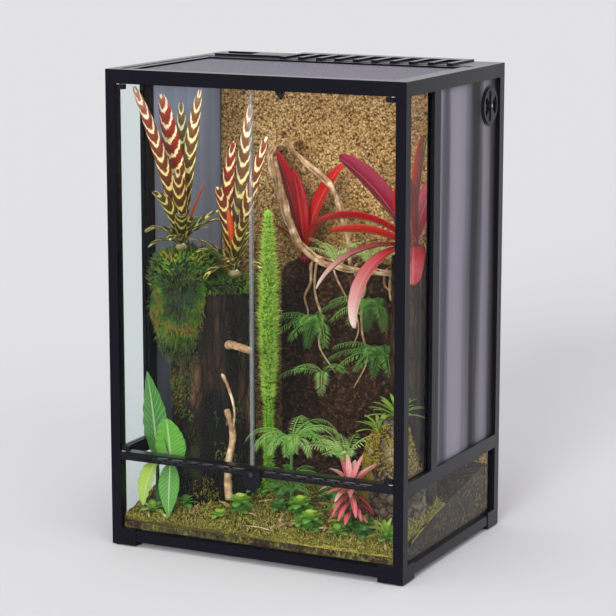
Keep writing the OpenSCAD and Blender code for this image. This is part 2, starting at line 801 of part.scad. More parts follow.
module cable_shutter() {
    guide_y = inlet_y + inlet_d / 2;
    z0 = frame_top + seat;
    low = guide_y - shutter_d / 2;
    high = guide_y + shutter_d / 2;
    color("#121216") {
        block([shutter_x, low, z0], [shutter_x + shutter_len, high, z0 + shutter_t]);
        block([shutter_x, low + shutter_lip + 1, z0 + shutter_t],
            [shutter_x + shutter_len, high - shutter_lip - 1, case_h]);
    }
}

// ---------- hose port ----------

// Two opposite windows, each a ring sector, cut through a plate along Z
module port_windows(h) {
    for (side = [0, 180]) rotate([0, 0, side - port_window / 2])
        rotate_extrude(angle = port_window) translate([port_in, 0]) square([port_out - port_in, h]);
}

// Collar plate in the hole, with its rim outside the panel
module port_collar() {
    face = pane_x + side_pane_t;
    color("#1d1d22") translate([face, port_y, port_z]) rotate([0, 90, 0]) difference() {
        union() {
            translate([0, 0, -side_pane_t - 3]) cylinder(d = port_d - 2 * seat, h = side_pane_t + 3);
            cylinder(d = port_d + 2 * port_rim, h = port_t);
        }
        translate([0, 0, -side_pane_t - 4]) cylinder(d = port_d - 6, h = side_pane_t + 4 - port_t);
        translate([0, 0, -port_t - 1]) rotate([0, 0, 90]) port_windows(2 * port_t + 2);
        translate([0, 0, -port_t - 1]) cylinder(d = rivet_d + 2 * pin_fit, h = 2 * port_t + 2);
    }
}

module port_shutter() {
    face = pane_x + side_pane_t + port_t + seat;
    color("#232329") translate([face, port_y, port_z]) rotate([0, 90, 0]) difference() {
        union() {
            cylinder(d = port_d, h = port_t);
            translate([-port_out, -4, port_t]) cube([2 * port_out, 8, grip_h]);
        }
        translate([0, 0, -1]) rotate([0, 0, 90]) port_windows(port_t + 2);
        translate([0, 0, -1]) cylinder(d = rivet_d + 2 * pin_fit, h = port_t + grip_h + 2);
    }
}

module port_rivet() {
    face = pane_x + side_pane_t;
    len = 2 * port_t + seat + grip_h;
    color("#b9bcc2") translate([face - port_t - seat, port_y, port_z]) rotate([0, 90, 0]) {
        translate([0, 0, -1]) cylinder(d = rivet_d + 5, h = 1);
        cylinder(d = rivet_d, h = len + port_t + seat);
    }
}

// ---------- planting ----------

module background_panel() {
    side = half_w - side_rail_t - seat;
    color("#b88f57") block([-side, back_y, soil_floor], [side, in_d - seat, bar_under - seat]);
}

// Places of the plants that stand in the soil, and the height of each crown above it
star_at = [right - 125, front + 58];
light_fern_at = [right - 167, front + 126];
arch_fern_at = [16, front + 112];
tall_leaf_at = [left + 51, front + 54];
heart_leaf_at = [left + 85, front + 44];
rosette_at = [[right - 197, front + 38], [left + 223, front + 62], [50, front + 82]];
club_at = [left + 231, front + 164];
function on_soil(p) = [p[0], p[1], soil_z(p[1]) + moss_t];
soil_plants = concat([star_at, arch_fern_at, light_fern_at, tall_leaf_at, heart_leaf_at, club_at], rosette_at);
club_r = 20;
club_stem = 181;
club_len = 346;
crown_lift = 14;
star_lift = 78;
arch_fern_lift = 112;
light_fern_lift = 92;
leaf_lift = 92;
rosette_lift = 22;

// Places of the plants that grow on the cork and the bark
moss_at = trunk_at - [40, 24];
moss_low = trunk_top - 155;
moss_top = trunk_top + 46;
striped_at = [[trunk_at[0] - 50, trunk_at[1] - 28, moss_top], [trunk_at[0] + 48, trunk_at[1] - 2, trunk_top]];
red_at = [stump_at[0] - 4, stump_at[1], stump_top];
bank_left = left + 177;
bank_right = right - 113;
vee_at = [bank_left + 42, bank_front + 26, bank_top];
wall_ferns = [[bank_right - 78, bank_top - 70], [bank_left + 88, bank_top - 112]];

trunk_foot = soil_z(trunk_at[1]) - 24;
stump_foot = soil_z(stump_at[1]) - 24;
rock_foot = soil_z(rock_at[1]) - 16;
bank_foot = soil_z(bank_front) - 20;

module trunk_shape(grow = 0) {
    lump(trunk_at, trunk_foot, trunk_top, trunk_r, 0.8 * trunk_r, lobes = 7, wave = 0.05,
        bulge = 0.05, grow = grow, around = 28, levels = 8);
}
module stump_shape(grow = 0) {
    lump(stump_at, stump_foot, stump_top, stump_r, 0.9 * stump_r, lobes = 6, wave = 0.05,
        grow = grow, levels = 8);
}
module rock_shape(grow = 0) {
    lump(rock_at, rock_foot, rock_foot + 205, 58, 24, lobes = 4, wave = 0.08, bulge = 0.1,
        tip = 0.5, ease = 2, grow = grow, around = 16, levels = 5);
}

// The bank: a wavy front, flat against the background
module bank_shape(grow = 0) {
    x0 = bank_left - grow;
    x1 = bank_right + grow;
    n = 16;
    bumps = [for (i = [0:n]) let (x = x0 + (x1 - x0) * i / n)
        [x, bank_front - grow + 5 + 5 * sin(1.9 * x + 40)]];
    translate([0, 0, bank_foot - grow]) linear_extrude(bank_top - bank_foot + 2 * grow)
        polygon(concat(bumps, [[x1, bank_back + grow], [x0, bank_back + grow]]));
}

// A peg of a plant that stands on something, and the hole for it
module peg(at, grow = 0) {
    translate([at[0], at[1], at[2] - root_deep - grow + seat]) cylinder(r = root_r + grow, h = root_deep + 2);
}
module wall_peg(p, grow = 0) {
    translate([p[0], bank_front - 8, p[1]]) rotate([-90, 0, 0])
        cylinder(r = root_r + grow, h = 8 + root_deep + grow);
}

// Soil heaped towards the back, with holes for the plants, the cork, the rocks and the bank
module substrate() {
    corner = post_w + seat;
    color("#4a3423") difference() {
        translate([-soil_w, 0, 0]) rotate([90, 0, 90]) linear_extrude(2 * soil_w)
            polygon([[soil_fy, soil_floor], [soil_back, soil_floor], [soil_back, soil_floor + soil_rear],
                [mid_y, soil_floor + soil_mid], [soil_fy, soil_floor + soil_front]]);
        four_corners() block([-soil_w - 1, soil_fy - 1, soil_floor - 1],
            [corner - half_w, corner - half_d, soil_floor + soil_rear]);
        for (p = soil_plants) planting_hole(on_soil(p));
        trunk_shape(seat);
        stump_shape(seat);
        rock_shape(seat);
        bank_shape(seat);
    }
}

// Moss over the front half of the soil
module moss_carpet() {
    low = soil_floor + soil_front;
    high = soil_floor + soil_mid;
    corner = post_w + seat;
    color("#7d8a2e") difference() {
        translate([-soil_w, 0, 0]) rotate([90, 0, 90]) linear_extrude(2 * soil_w)
            polygon([[soil_fy, low], [mid_y, high], [mid_y, high + moss_t], [soil_fy, low + moss_t]]);
        both_sides() block([-soil_w - 1, soil_fy - 1, soil_floor],
            [corner - half_w, corner - half_d, 2 * high]);
        for (p = soil_plants) planting_hole(on_soil(p));
        trunk_shape(seat);
        stump_shape(seat);
        rock_shape(seat);
    }
}

module cork_trunk() {
    color("#3b2a20") difference() {
        trunk_shape();
        peg(striped_at[1], seat);
    }
}

// Moss that caps the cork trunk and hangs down its left side
module trunk_moss() {
    color("#5d7a26") difference() {
        lump(moss_at, moss_low, moss_top, 70, 74, lobes = 5, wave = 0.05, bulge = 0.6, foot = 0.5,
            tip = 0.68, around = 24, levels = 8);
        trunk_shape(seat);
        peg(striped_at[0], seat);
    }
}

module cork_stump() {
    color("#33251d") difference() {
        stump_shape();
        peg(red_at, seat);
    }
}

module bark_bank() {
    color("#40291b") difference() {
        bank_shape();
        peg(vee_at, seat);
        for (p = wall_ferns) wall_peg(p, seat);
    }
}

module rocks() {
    color("#6e655c") rock_shape();
}

// Two woody vines from the background, one to the stump and one to the top of the bank
module vine_roots() {
    from = [bank_left, bank_back, bank_top];
    end = [stump_at[0], stump_at[1], stump_top];
    color("#9a7347") {
        difference() {
            vine([from + [-38, 0, 216], from + [-38, -22, 216], from + [-33, -62, 209], from + [-14, -90, 190],
                from + [10, -102, 150], from + [28, -106, 100], from + [54, -108, 48], from + [92, -112, 20],
                from + [142, -116, 12], end + [-136, 76, -52], end + [-76, 52, -48], end + [-40, 26, -40],
                end + [-20, 12, -34]], 8, 5);
            stump_shape(seat);
        }
        vine([from + [0, 0, 228], from + [0, -22, 228], from + [12, -58, 222], from + [46, -74, 204],
            from + [92, -82, 176], from + [120, -82, 140], from + [132, -80, 96], from + [140, -72, 56],
            from + [142, -67, 24], from + [142, -67, seat]], 6, 5);
    }
}

// Upright banded leaves of the two striped bromeliads, and the short ones round each crown
striped_leaves = [
    [[-120, 80, 16, 322, 24, 60], [180, 86, 9, 288, 42, 88], [93, 82, 17, 300, 26, 10],
     [119, 80, 20, 280, 26, 20], [-160, 60, 60, 66, 24, 0], [-60, 62, 60, 150, 26, 0],
     [-15, 60, 60, 84, 22, 0], [60, 55, 50, 130, 22, 0], [-100, 60, 80, 120, 24, 0]],
    [[180, 73, -34, 250, 30, 80], [86, 84, 10, 316, 26, 30], [62, 82, 10, 200, 22, 30],
     [40, 80, 8, 262, 24, 50], [-100, 60, 70, 130, 24, 0], [-30, 50, 80, 104, 20, 0],
     [100, 60, 50, 120, 22, 0]]];
module striped_bromeliads() {
    color("#8a4a2c") for (i = [0, 1]) union() {
        peg(striped_at[i]);
        rosette(striped_at[i] + [0, 0, crown_lift], root_r + 3, striped_leaves[i], thick = 3, peak = 0.42);
    }
}

// Arching red leaves over the stump
red_leaves = [[174, 60, 32, 228, 46, 20], [-166, 48, 72, 200, 26, 0], [-157, 30, 40, 160, 26, 0],
    [-146, 15, 75, 208, 30, 0], [-116, 10, 110, 224, 30, 0], [-52, 80, 14, 226, 24, 40],
    [-78, 70, 34, 176, 42, 50], [-66, 24, 96, 140, 34, 0], [-24, 84, 8, 222, 18, 40],
    [122, 55, 50, 180, 30, 0], [82, 68, 30, 170, 30, 0]];
module red_bromeliad() {
    color("#c8202c") union() {
        peg(red_at);
        rosette(red_at + [0, 0, crown_lift], root_r + 3, red_leaves, thick = 3, peak = 0.55);
    }
}

// Straight red leaves that open in a vee
vee_leaves = [[180, 78, 10, 214, 34, 70], [0, 84, 36, 208, 30, 60], [-90, 82, 16, 186, 26, 0],
    [-40, 70, 50, 120, 22, 0], [-140, 66, 50, 110, 22, 0]];
module vee_bromeliad() {
    color("#d03028") union() {
        peg(vee_at);
        rosette(vee_at + [0, 0, crown_lift], root_r + 2, vee_leaves, thick = 3, peak = 0.55);
    }
}

// A plant that stands in the soil on a short stem
module soil_plant(p, lift, shapes, crown_r, peak = 0.5) {
    at = on_soil(p) + [0, 0, lift];
    root_ball(on_soil(p), on_soil(p)[2] + 2);
    translate(on_soil(p)) cylinder(r = 0.6 * root_r, h = lift);
    rosette(at, crown_r, shapes, peak = peak);
}

star_leaves = [for (i = [0:12]) [137.5 * i, 40 + 26 * sin(137.5 * i), 46, 57 + 4 * sin(80 * i), 15, 0]];
module star_bromeliad() {
    color("#dc5a66") union() soil_plant(star_at, star_lift, star_leaves, root_r);
}

// Fuzzy upright column of club moss on a thin stem
module club_moss() {
    base = on_soil(club_at);
    color("#6fbf2a") union() {
        root_ball(base, base[2] + 2);
        translate(base) cylinder(r = 6, h = 1.2 * club_stem);
        lump(club_at, base[2] + club_stem, base[2] + club_stem + club_len, club_r, club_r, lobes = 10,
            wave = 0.1, bulge = 0.1, foot = 0.8, tip = 0.25, ease = 2, around = 30, levels = 12);
    }
}

arch_fronds = [for (az = [-156, -122, -92, -58, -20, 24, 62, 100]) [az, 82, 150, 126 + 20 * sin(az), 28, 0]];
light_fronds = [for (az = [-176, -138, -98, -60, 100, 150]) [az, 60, 76, 88 + 10 * sin(5 * az), 24, 0]];
wall_fronds = [for (az = [-152, -128, -100, -74, -58]) [az, 34, 84, 118 + 22 * sin(4 * az), 26, 0]];
module fern_fronds() {
    color("#2f7d38") {
        soil_plant(arch_fern_at, arch_fern_lift, arch_fronds, root_r);
        soil_plant(light_fern_at, light_fern_lift, light_fronds, root_r);
        for (p = wall_ferns) union() {
            wall_peg(p);
            rosette([p[0], bank_front - 10, p[1]], root_r, wall_fronds);
        }
    }
}

tall_leaves = [[180, 86, 6, 168, 60, 84], [-125, -58, 26, 96, 54, 0], [-170, 20, 60, 40, 34, 0]];
heart_leaves = [[-80, 86, 18, 96, 54, 0], [-70, -62, 24, 104, 38, 0], [150, 76, 20, 90, 36, 40]];
module broad_leaf_plant() {
    color("#5f9e2e") {
        union() soil_plant(tall_leaf_at, leaf_lift, tall_leaves, 9);
        union() soil_plant(heart_leaf_at, leaf_lift, heart_leaves, 9);
    }
}

small_leaves = [for (i = [0:9]) [137.5 * i, 10 + 7 * i, 40, 27, 15, 0]];
module rosette_plants() {
    color("#7cbf4a") for (p = rosette_at) union() soil_plant(p, rosette_lift, small_leaves, 7);
}

// ---------- the part ----------
base_bars();
corner_feet();
foot_pads();
front_left_post();
front_right_post();
rear_left_post();
rear_right_post();
top_bars();
top_corners();
bottom_pane();
front_vent_rail();
front_vent_mesh();
left_side_rail();
right_side_rail();
left_mullion();
right_mullion();
left_window();
right_window();
left_side_panel();
right_side_panel();
left_lower_pane();
right_lower_pane();
rear_glass();
front_lower_glass();
left_door_glass();
right_door_glass();
left_hinge_shoes();
right_hinge_shoes();
left_hinge_pins();
right_hinge_pins();
hinge_bushes();
door_seal();
door_catch();
latch_washer();
latch_paddle();
latch_pin();
screen_frame();
screen_mesh();
cable_strip();
cable_shutter();
port_collar();
port_shutter();
port_rivet();
background_panel();
substrate();
moss_carpet();
cork_trunk();
trunk_moss();
cork_stump();
bark_bank();
rocks();
vine_roots();
striped_bromeliads();
red_bromeliad();
vee_bromeliad();
star_bromeliad();
club_moss();
fern_fronds();
broad_leaf_plant();
rosette_plants();
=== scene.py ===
# %% [markdown]
# # A planted glass terrarium, finished in Blender
# The case comes in as a solid model, measured and jointed. This lesson dresses it: it gives
# every bar and pane its finish, and grows cork, moss and plants inside. We load the solids
# first and keep their box, because the finished model has to stay inside it.

# %% Load the solid model
import math

import bpy
import numpy as np
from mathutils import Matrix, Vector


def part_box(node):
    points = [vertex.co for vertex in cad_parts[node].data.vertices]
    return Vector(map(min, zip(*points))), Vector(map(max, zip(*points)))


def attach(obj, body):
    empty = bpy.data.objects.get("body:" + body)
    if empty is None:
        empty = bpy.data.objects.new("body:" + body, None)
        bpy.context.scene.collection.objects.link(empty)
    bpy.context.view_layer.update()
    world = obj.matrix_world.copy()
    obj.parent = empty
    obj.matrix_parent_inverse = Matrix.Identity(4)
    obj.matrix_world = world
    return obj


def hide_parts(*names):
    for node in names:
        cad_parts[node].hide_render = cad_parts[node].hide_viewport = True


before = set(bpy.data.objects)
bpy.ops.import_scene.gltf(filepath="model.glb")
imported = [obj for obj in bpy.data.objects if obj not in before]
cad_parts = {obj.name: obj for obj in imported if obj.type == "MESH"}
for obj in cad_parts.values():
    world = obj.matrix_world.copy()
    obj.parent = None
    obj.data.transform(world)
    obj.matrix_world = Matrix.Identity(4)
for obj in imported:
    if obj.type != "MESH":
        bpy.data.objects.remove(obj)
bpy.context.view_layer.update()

# %% [markdown]
# A tall case looks right from a few metres away through a long lens, because its uprights then
# stay nearly upright. The camera could be turned by hand, but two points say exactly where it
# stands and what it looks at, and both are easy to change. It stands to the right and a little
# above the middle, and turns until its view runs through the middle of the case.

# %% Camera
MIDDLE = np.array([0.0, 0.0, 0.4405])
STAND = np.array([1.917, -3.851, 1.262])
LENS_MM = 136.0


def turned_to(place, target):
    """Euler angles of a camera or lamp at place that looks at target: the tilt is the angle
    between the view and straight down, and the heading is the view's angle round the upright
    axis."""
    look = np.asarray(target) - np.asarray(place)
    level = math.hypot(look[0], look[1])
    return (math.atan2(level, -look[2]), 0.0, math.atan2(look[1], look[0]) - math.pi / 2)


def placed(name, data):
    """A new object that shows the data, linked into the scene."""
    thing = bpy.data.objects.new(name, data)
    bpy.context.collection.objects.link(thing)
    return thing


camera = placed("studio_camera", bpy.data.cameras.new("studio_camera"))
camera.data.lens = LENS_MM
camera.location = STAND
camera.rotation_euler = turned_to(STAND, MIDDLE)
bpy.context.scene.camera = camera
print("camera distance:", round(float(np.linalg.norm(STAND - MIDDLE)), 3), "m")

# %% [markdown]
# A given colour is written in the eye's own scale, and a shader wants light amounts.
# Three numbers could be worked out by hand for every colour. One helper does it for all, so
# that each finish below can be written as the colour that it should look like.

# %% Colours
def tone(code):
    """Light amounts of a colour written as six hex digits. Each channel c, from 0 to 1, becomes
    ((c + 0.055) / 1.055) to the power 2.4, or c / 12.92 near black."""
    c = np.array([int(code[i:i + 2], 16) for i in (0, 2, 4)]) / 255
    lit = np.where(c > 0.04045, ((c + 0.055) / 1.055) ** 2.4, c / 12.92)
    return (*lit.tolist(), 1.0)


print("mid grey as light:", [round(v, 3) for v in tone("808080")[:3]])

# %% [markdown]
# A finish is a small graph of nodes. Nodes can be set up one line at a time, but then a finish
# fills a page. So one helper adds a node with all its inputs in a single line, and each input
# may be a plain value or a link.

# %% Node helpers
def feed(tree, socket, source):
    """Links a socket to another one, or gives it a plain value."""
    if isinstance(source, bpy.types.NodeSocket):
        tree.links.new(source, socket)
    else:
        socket.default_value = source


def add(tree, kind, inputs=None, **settings):
    """Adds a node, sets its options, and feeds its inputs."""
    n = tree.nodes.new("ShaderNode" + kind)
    for key, value in settings.items():
        setattr(n, key, value)
    for key, source in (inputs or {}).items():
        feed(tree, n.inputs[key], source)
    return n


def calc(tree, way, a, b=0.0):
    """A sum of one or two values, such as ADD or POWER."""
    return add(tree, "Math", {0: a, 1: b}, operation=way).outputs[0]


def scaled(tree, value, to=(0.0, 1.0), of=(0.0, 1.0)):
    """A value carried from one range to another, and held at the ends of it."""
    ends = {"From Min": of[0], "From Max": of[1], "To Min": to[0], "To Max": to[1]}
    return add(tree, "MapRange", {"Value": value, **ends}).outputs[0]


print("node helpers ready")

# %% [markdown]
# Studio light for glass and black bars is large and soft. Small lamps would be simpler, but
# each would leave a hard glint in every pane. Wide suns from the front, the right and above
# reach every part of the case evenly instead. A flat lamp under the screen lights the plants,
# as a keeper's lamp would.

# %% Lamps
def wide_sun(name, heading, height, strength, spread):
    """A sun that stands at a heading and height in degrees and lights from a disc as wide as
    spread, in degrees."""
    lamp = placed(name, bpy.data.lights.new(name, "SUN"))
    lamp.data.energy = strength
    lamp.data.angle = math.radians(spread)
    h, e = math.radians(heading), math.radians(height)
    way = (-math.sin(h) * math.cos(e), -math.cos(h) * math.cos(e), math.sin(e))
    lamp.rotation_euler = turned_to(way, (0, 0, 0))
    return lamp


wide_sun("front_light", -5, 17, 2.6, 24).visible_glossy = False
wide_sun("side_light", -50, 30, 0.7, 45)
wide_sun("top_light", 0, 80, 0.6, 40)
roof = placed("roof_light", bpy.data.lights.new("roof_light", "AREA"))
roof.data.shape = "RECTANGLE"
roof.data.size, roof.data.size_y = 0.5, 0.34
roof.data.energy = 0.9
roof.location = (0, -0.01, 0.868)
roof.visible_camera = roof.visible_glossy = False

# %% [markdown]
# A plain bright sky fills the shadows and is the backdrop as well. One strength for both would
# either wash out the colours or leave the backdrop grey. So what the camera, a mirror or a
# window sees of the sky is set apart from the light that it gives.

# %% Sky and backdrop
PALE = tone("e9e8ea")
FILL_LIGHT = 0.55
world = bpy.data.worlds.new("studio")
bpy.context.scene.world = world
world.use_nodes = True
sky = world.node_tree
sky.nodes.clear()
ray = add(sky, "LightPath").outputs
seen = calc(sky, "MAXIMUM", ray["Is Camera Ray"], ray["Is Glossy Ray"])
seen = calc(sky, "MAXIMUM", seen, ray["Is Transmission Ray"])
fill = add(sky, "Background", {"Color": (1, 1, 1, 1), "Strength": FILL_LIGHT})
shown = add(sky, "Background", {"Color": PALE})
both = add(sky, "MixShader", {0: seen, 1: fill.outputs[0], 2: shown.outputs[0]})
add(sky, "OutputWorld", {"Surface": both.outputs[0]})
print("sky nodes:", len(sky.nodes))

# %% [markdown]
# Nearly every finish here starts from the same few things: a shader, a place on the piece and a
# random field. An image of each material could be wrapped on instead, but it would show its
# joins, and a pattern worked out in space has none. Each of these things gets a name of its
# own.

# %% Places and random fields
def start(name, **sockets):
    """A new finish, its node tree and its shader. Underscores in socket names are spaces."""
    m = bpy.data.materials.new(name)
    m.use_nodes = True
    shader = m.node_tree.nodes["Principled BSDF"]
    for key, value in sockets.items():
        shader.inputs[key.replace("_", " ")].default_value = value
    return m, m.node_tree, shader


def here(tree, kind="Object"):
    """The place on the piece, in metres, or with kind UV its map."""
    return add(tree, "TexCoord").outputs[kind]


def axes(tree, where):
    """The three numbers of a place or map."""
    return add(tree, "SeparateXYZ", {0: where}).outputs


def stretched(tree, where, by):
    """The place scaled along each axis: a pattern is drawn out where the scale is low."""
    return add(tree, "Mapping", {"Vector": where, "Scale": by}).outputs[0]


def noise(tree, where, scale, detail=2.0, roughness=0.5):
    """A smooth random field from 0 to 1. detail is the number of finer layers in it, and
    roughness is how much each of them counts."""
    inputs = {"Vector": where, "Scale": scale, "Detail": detail, "Roughness": roughness}
    return add(tree, "TexNoise", inputs).outputs["Fac"]


def steepness(tree, power):
    """How steeply the surface is seen, 0 face on and 1 along it, raised to a power."""
    facing = add(tree, "LayerWeight", {"Blend": 0.5}).outputs["Facing"]
    return calc(tree, "POWER", facing, power)


print("place and field helpers ready")

# %% [markdown]
# A random field is only a number from 0 to 1. A ramp turns it into colours, and a bump node
# turns it into small relief. Such fine relief could be in the mesh, but it would take millions
# of faces, so grain and pores stay in the finish and only larger lumps are modelled.

# %% Colour and relief
def ramp(tree, source, stops):
    """A colour ramp: stops is a list of (place, colour code)."""
    n = add(tree, "ValToRGB", {"Fac": source})
    while len(n.color_ramp.elements) < len(stops):
        n.color_ramp.elements.new(1.0)
    for e, (place, code) in zip(n.color_ramp.elements, stops):
        e.position = place
        e.color = tone(code)
    return n.outputs["Color"]


def blended(tree, share, a, b, way="MIX"):
    """A colour between a and b. Each of the three may be a plain value or a link."""
    return add(tree, "Mix", {0: share, 6: a, 7: b}, data_type="RGBA", blend_type=way).outputs[2]


def shaded(tree, colour, shade):
    """A colour multiplied by a shade."""
    return blended(tree, 1.0, colour, shade, "MULTIPLY")


def paint(tree, shader, colour):
    """Gives the shader its colour."""
    feed(tree, shader.inputs["Base Color"], colour)


def relief(tree, shader, height, strength, depth):
    """Small relief from a height value: depth is in metres."""
    bump = add(tree, "Bump", {"Strength": strength, "Distance": depth, "Height": height})
    feed(tree, shader.inputs["Normal"], bump.outputs[0])


print("colour and relief helpers ready")

# %% [markdown]
# Most surfaces of the case are plain stuff with a slight drift: powder coat, moulded plastic,
# rubber, drawn steel. A flat colour would look like a toy, and a finish of its own for each
# would be long. So one noise drives their colour, their gloss and a fine relief. Stretching
# the noise along one axis turns speckle into drawn lines.

# %% Plain finishes
EVEN_MIRROR = 0.2   # the mirror level of a viewer that can't make it grow with steepness


def pair(dark, pale):
    """A short ramp between two colours."""
    return [(0.3, dark), (0.7, pale)]


def plain(name, stops, scale=60.0, grain=(1, 1, 1), gloss=(0.4, 0.55), bump=0.15, depth=0.0002,
          detail=4.0, sheen=None, **sockets):
    """Colour along a ramp, roughness between the two values of gloss and a relief, all from one
    noise that is stretched by grain. sheen is the mirror level face on and along the surface:
    it grows with the eighth power of how steeply the surface is seen."""
    m, tree, shader = start(name, **sockets)
    spots = noise(tree, stretched(tree, here(tree), grain), scale, detail, 0.6)
    paint(tree, shader, ramp(tree, spots, stops))
    feed(tree, shader.inputs["Roughness"], scaled(tree, spots, gloss))
    relief(tree, shader, spots, bump, depth)
    if sheen:
        mirror = shader.inputs["Specular IOR Level"]
        mirror.default_value = EVEN_MIRROR
        feed(tree, mirror, scaled(tree, steepness(tree, 8.0), sheen))
    return m


print("gloss is read from the same noise as the colour")

# %% [markdown]
# The case has three kinds of black: powder coat on the bars, moulding at the corners, and a
# satin moulding on the rail, the hinge shoes and the shutters. All are nearly matt face on and
# bright along the bar, which one even gloss can't give. The wires are paler than steel looks in the
# hand, because a net of thin wires looks darker than each wire; the vent's are paler still, as
# painted light against the shade in the rail.

# %% The case's own finishes
BLACK = pair("111016", "1a1920")
coat = plain("black_powder_coat", BLACK, 900, gloss=(0.24, 0.34), bump=0.25, depth=0.0001,
             sheen=(0.02, 7.0))
moulding = plain("black_moulding", BLACK, 500, gloss=(0.26, 0.38), bump=0.2, depth=0.0001,
                 sheen=(0.03, 6.0))
satin = plain("satin_moulding", pair("131318", "1e1e24"), 300, gloss=(0.25, 0.36), bump=0.1,
              depth=0.0001, sheen=(0.06, 5.0))
rubber = plain("soft_rubber", pair("101012", "1b1b1d"), 800, gloss=(0.75, 0.9), bump=0.3)
bushing = plain("pale_bushing", pair("c9c6ba", "d8d5cb"), 300, gloss=(0.35, 0.45))
steel = plain("drawn_steel", pair("a9abb0", "c8cacf"), 300, (1, 1, 0.05), (0.2, 0.35),
              Metallic=1.0)
dark_steel = plain("dark_steel", pair("3a3b40", "5a5b61"), 300, gloss=(0.3, 0.45), Metallic=1.0)
wire = plain("grey_wire", pair("8f8c99", "aaa7b4"), 200, gloss=(0.45, 0.6), Metallic=0.2)
# Painted light: the vent's wires are paler than the screen's, so that they show in the rail's shade.
vent_wire = plain("vent_wire_painted_light", pair("c2c0cd", "e2e0ec"), 200, gloss=(0.4, 0.55), Metallic=0.2)
seal = plain("clear_strip", pair("8d9296", "a5aaad"), 200, (1, 1, 0.1), (0.4, 0.5), Alpha=0.28)
print("plain finishes:", len(bpy.data.materials))

# %% [markdown]
# Window glass hardly shows, except for a faint reflection and a green cast. A glass shader
# bends light, which a thin pane doesn't do, and it would keep the lamps from the plants. So a
# clear shader and a mirror are mixed by the angle of view, and light passes straight through.

# %% Glass
MIRROR_SHARE = (0.006, 0.3)   # face on, and along the pane


def pane_glass(name, tint):
    """Mostly clear. The mirror share grows with the fifth power of how steeply it is seen."""
    m, tree, shader = start(name)
    tree.nodes.remove(shader)
    clear = add(tree, "BsdfTransparent", {"Color": tone(tint)})
    mirror = add(tree, "BsdfGlossy", {"Color": (1, 1, 1, 1), "Roughness": 0.03})
    share = scaled(tree, steepness(tree, 5.0), MIRROR_SHARE)
    mix = add(tree, "MixShader", {0: share, 1: clear.outputs[0], 2: mirror.outputs[0]})
    feed(tree, tree.nodes["Material Output"].inputs["Surface"], mix.outputs[0])
    return m


glass = pane_glass("clear_glass", "fafdfc")
print("clear face on:", 1 - MIRROR_SHARE[0])

# %% [markdown]
# The rear half of each side wall is a grey plastic sheet. Outside it shows soft upright
# stripes of lighter and darker grey, which are reflections of its surroundings. A wavy mesh would
# need just the right lamps to show them, and they would vanish in other light. So the stripes are
# painted reflections in the colour, and a slow noise keeps their edges from being ruled.

# %% Grey side panel
# Painted reflections: upright stripes of lighter and darker grey on the sheet's outside.
PAINTED_REFLECTION_STRIPES = [(0.0, "a09cab"), (0.13, "8f8b99"), (0.19, "514e58"), (0.23, "4b4852"), (0.29, "8b8795"),
           (0.4, "918d9c"), (0.5, "84808e"), (0.57, "5b5862"), (0.62, "1c1b20"), (0.68, "19181c"),
           (0.74, "4b4852"), (0.8, "827e8b"), (0.86, "716e7a"), (0.92, "37343d"), (1.0, "1c1b20")]
STRIPED_FROM, STRIPED_TO, SWAY = -0.1, 0.205, 0.09


def drawn_sheet(name, sheet_middle):
    """Outside, the place from front to back, shifted a little by a noise stretched in height,
    runs through a ramp of painted reflection stripes. Inside, nearer the middle of the case than
    the sheet's own mid plane, a plain slate."""
    m, tree, shader = start(name, Roughness=0.45, Specular_IOR_Level=0.15)
    sway = noise(tree, stretched(tree, here(tree), (1, 1, 0.05)), 30.0, 3.0)
    x, y, _ = axes(tree, here(tree))
    along = scaled(tree, y, of=(STRIPED_FROM, STRIPED_TO))
    bands = ramp(tree, calc(tree, "ADD", along, scaled(tree, sway, (-SWAY, SWAY))), PAINTED_REFLECTION_STRIPES)
    slate = ramp(tree, sway, pair("838ba1", "949cb1"))
    outer = calc(tree, "GREATER_THAN", calc(tree, "ABSOLUTE", x), sheet_middle)
    paint(tree, shader, blended(tree, outer, slate, bands))
    relief(tree, shader, noise(tree, here(tree), 900.0), 0.15, 0.0002)
    return m


low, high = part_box("right_side_panel")
panel = drawn_sheet("grey_sheet_painted_reflections", (low[0] + high[0]) / 2)
print("sheet:", round((high[0] - low[0]) * 1000, 1), "mm thick")

# %% [markdown]
# Each solid of the case has its place, its size and its name, and only its look is missing.
# We could click through them one by one, but a table from finish to names is easy to read and
# to put right. One loop then empties each solid's material slots and fills the first.

# %% Give the case its finishes
FINISHES = {
    coat: ["base_bars", "front_left_post", "front_right_post", "rear_left_post", "rear_right_post",
           "top_bars", "left_side_rail", "right_side_rail", "left_mullion", "right_mullion",
           "screen_frame"],
    moulding: ["corner_feet", "top_corners", "cable_strip"],
    satin: ["front_vent_rail", "left_hinge_shoes", "right_hinge_shoes", "door_catch",
            "latch_paddle", "cable_shutter", "port_collar", "port_shutter"],
    rubber: ["foot_pads", "latch_washer"],
    bushing: ["hinge_bushes"],
    steel: ["left_hinge_pins", "right_hinge_pins", "port_rivet"],
    dark_steel: ["latch_pin"],
    wire: ["front_vent_mesh", "screen_mesh"],
    seal: ["door_seal"],
    glass: ["bottom_pane", "left_window", "right_window", "left_lower_pane", "right_lower_pane",
            "rear_glass", "front_lower_glass", "left_door_glass", "right_door_glass"],
    panel: ["left_side_panel", "right_side_panel"],
}


def dress(node, finish):
    """Gives a solid one finish and no other."""
    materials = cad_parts[node].data.materials
    materials.clear()
    materials.append(finish)


for finish, nodes in FINISHES.items():
    for node in nodes:
        dress(node, finish)
print("dressed solids:", sum(len(nodes) for nodes in FINISHES.values()))

# %% [markdown]
# From here on we make new meshes. Blender can build one point by point, but these have up to a
# hundred thousand points. So each mesh is a stack of smaller parts: an array of points in
# millimetres, arrays of faces, and a map that says how far along and across each point lies.
# The whole stack goes into Blender in a few array calls.

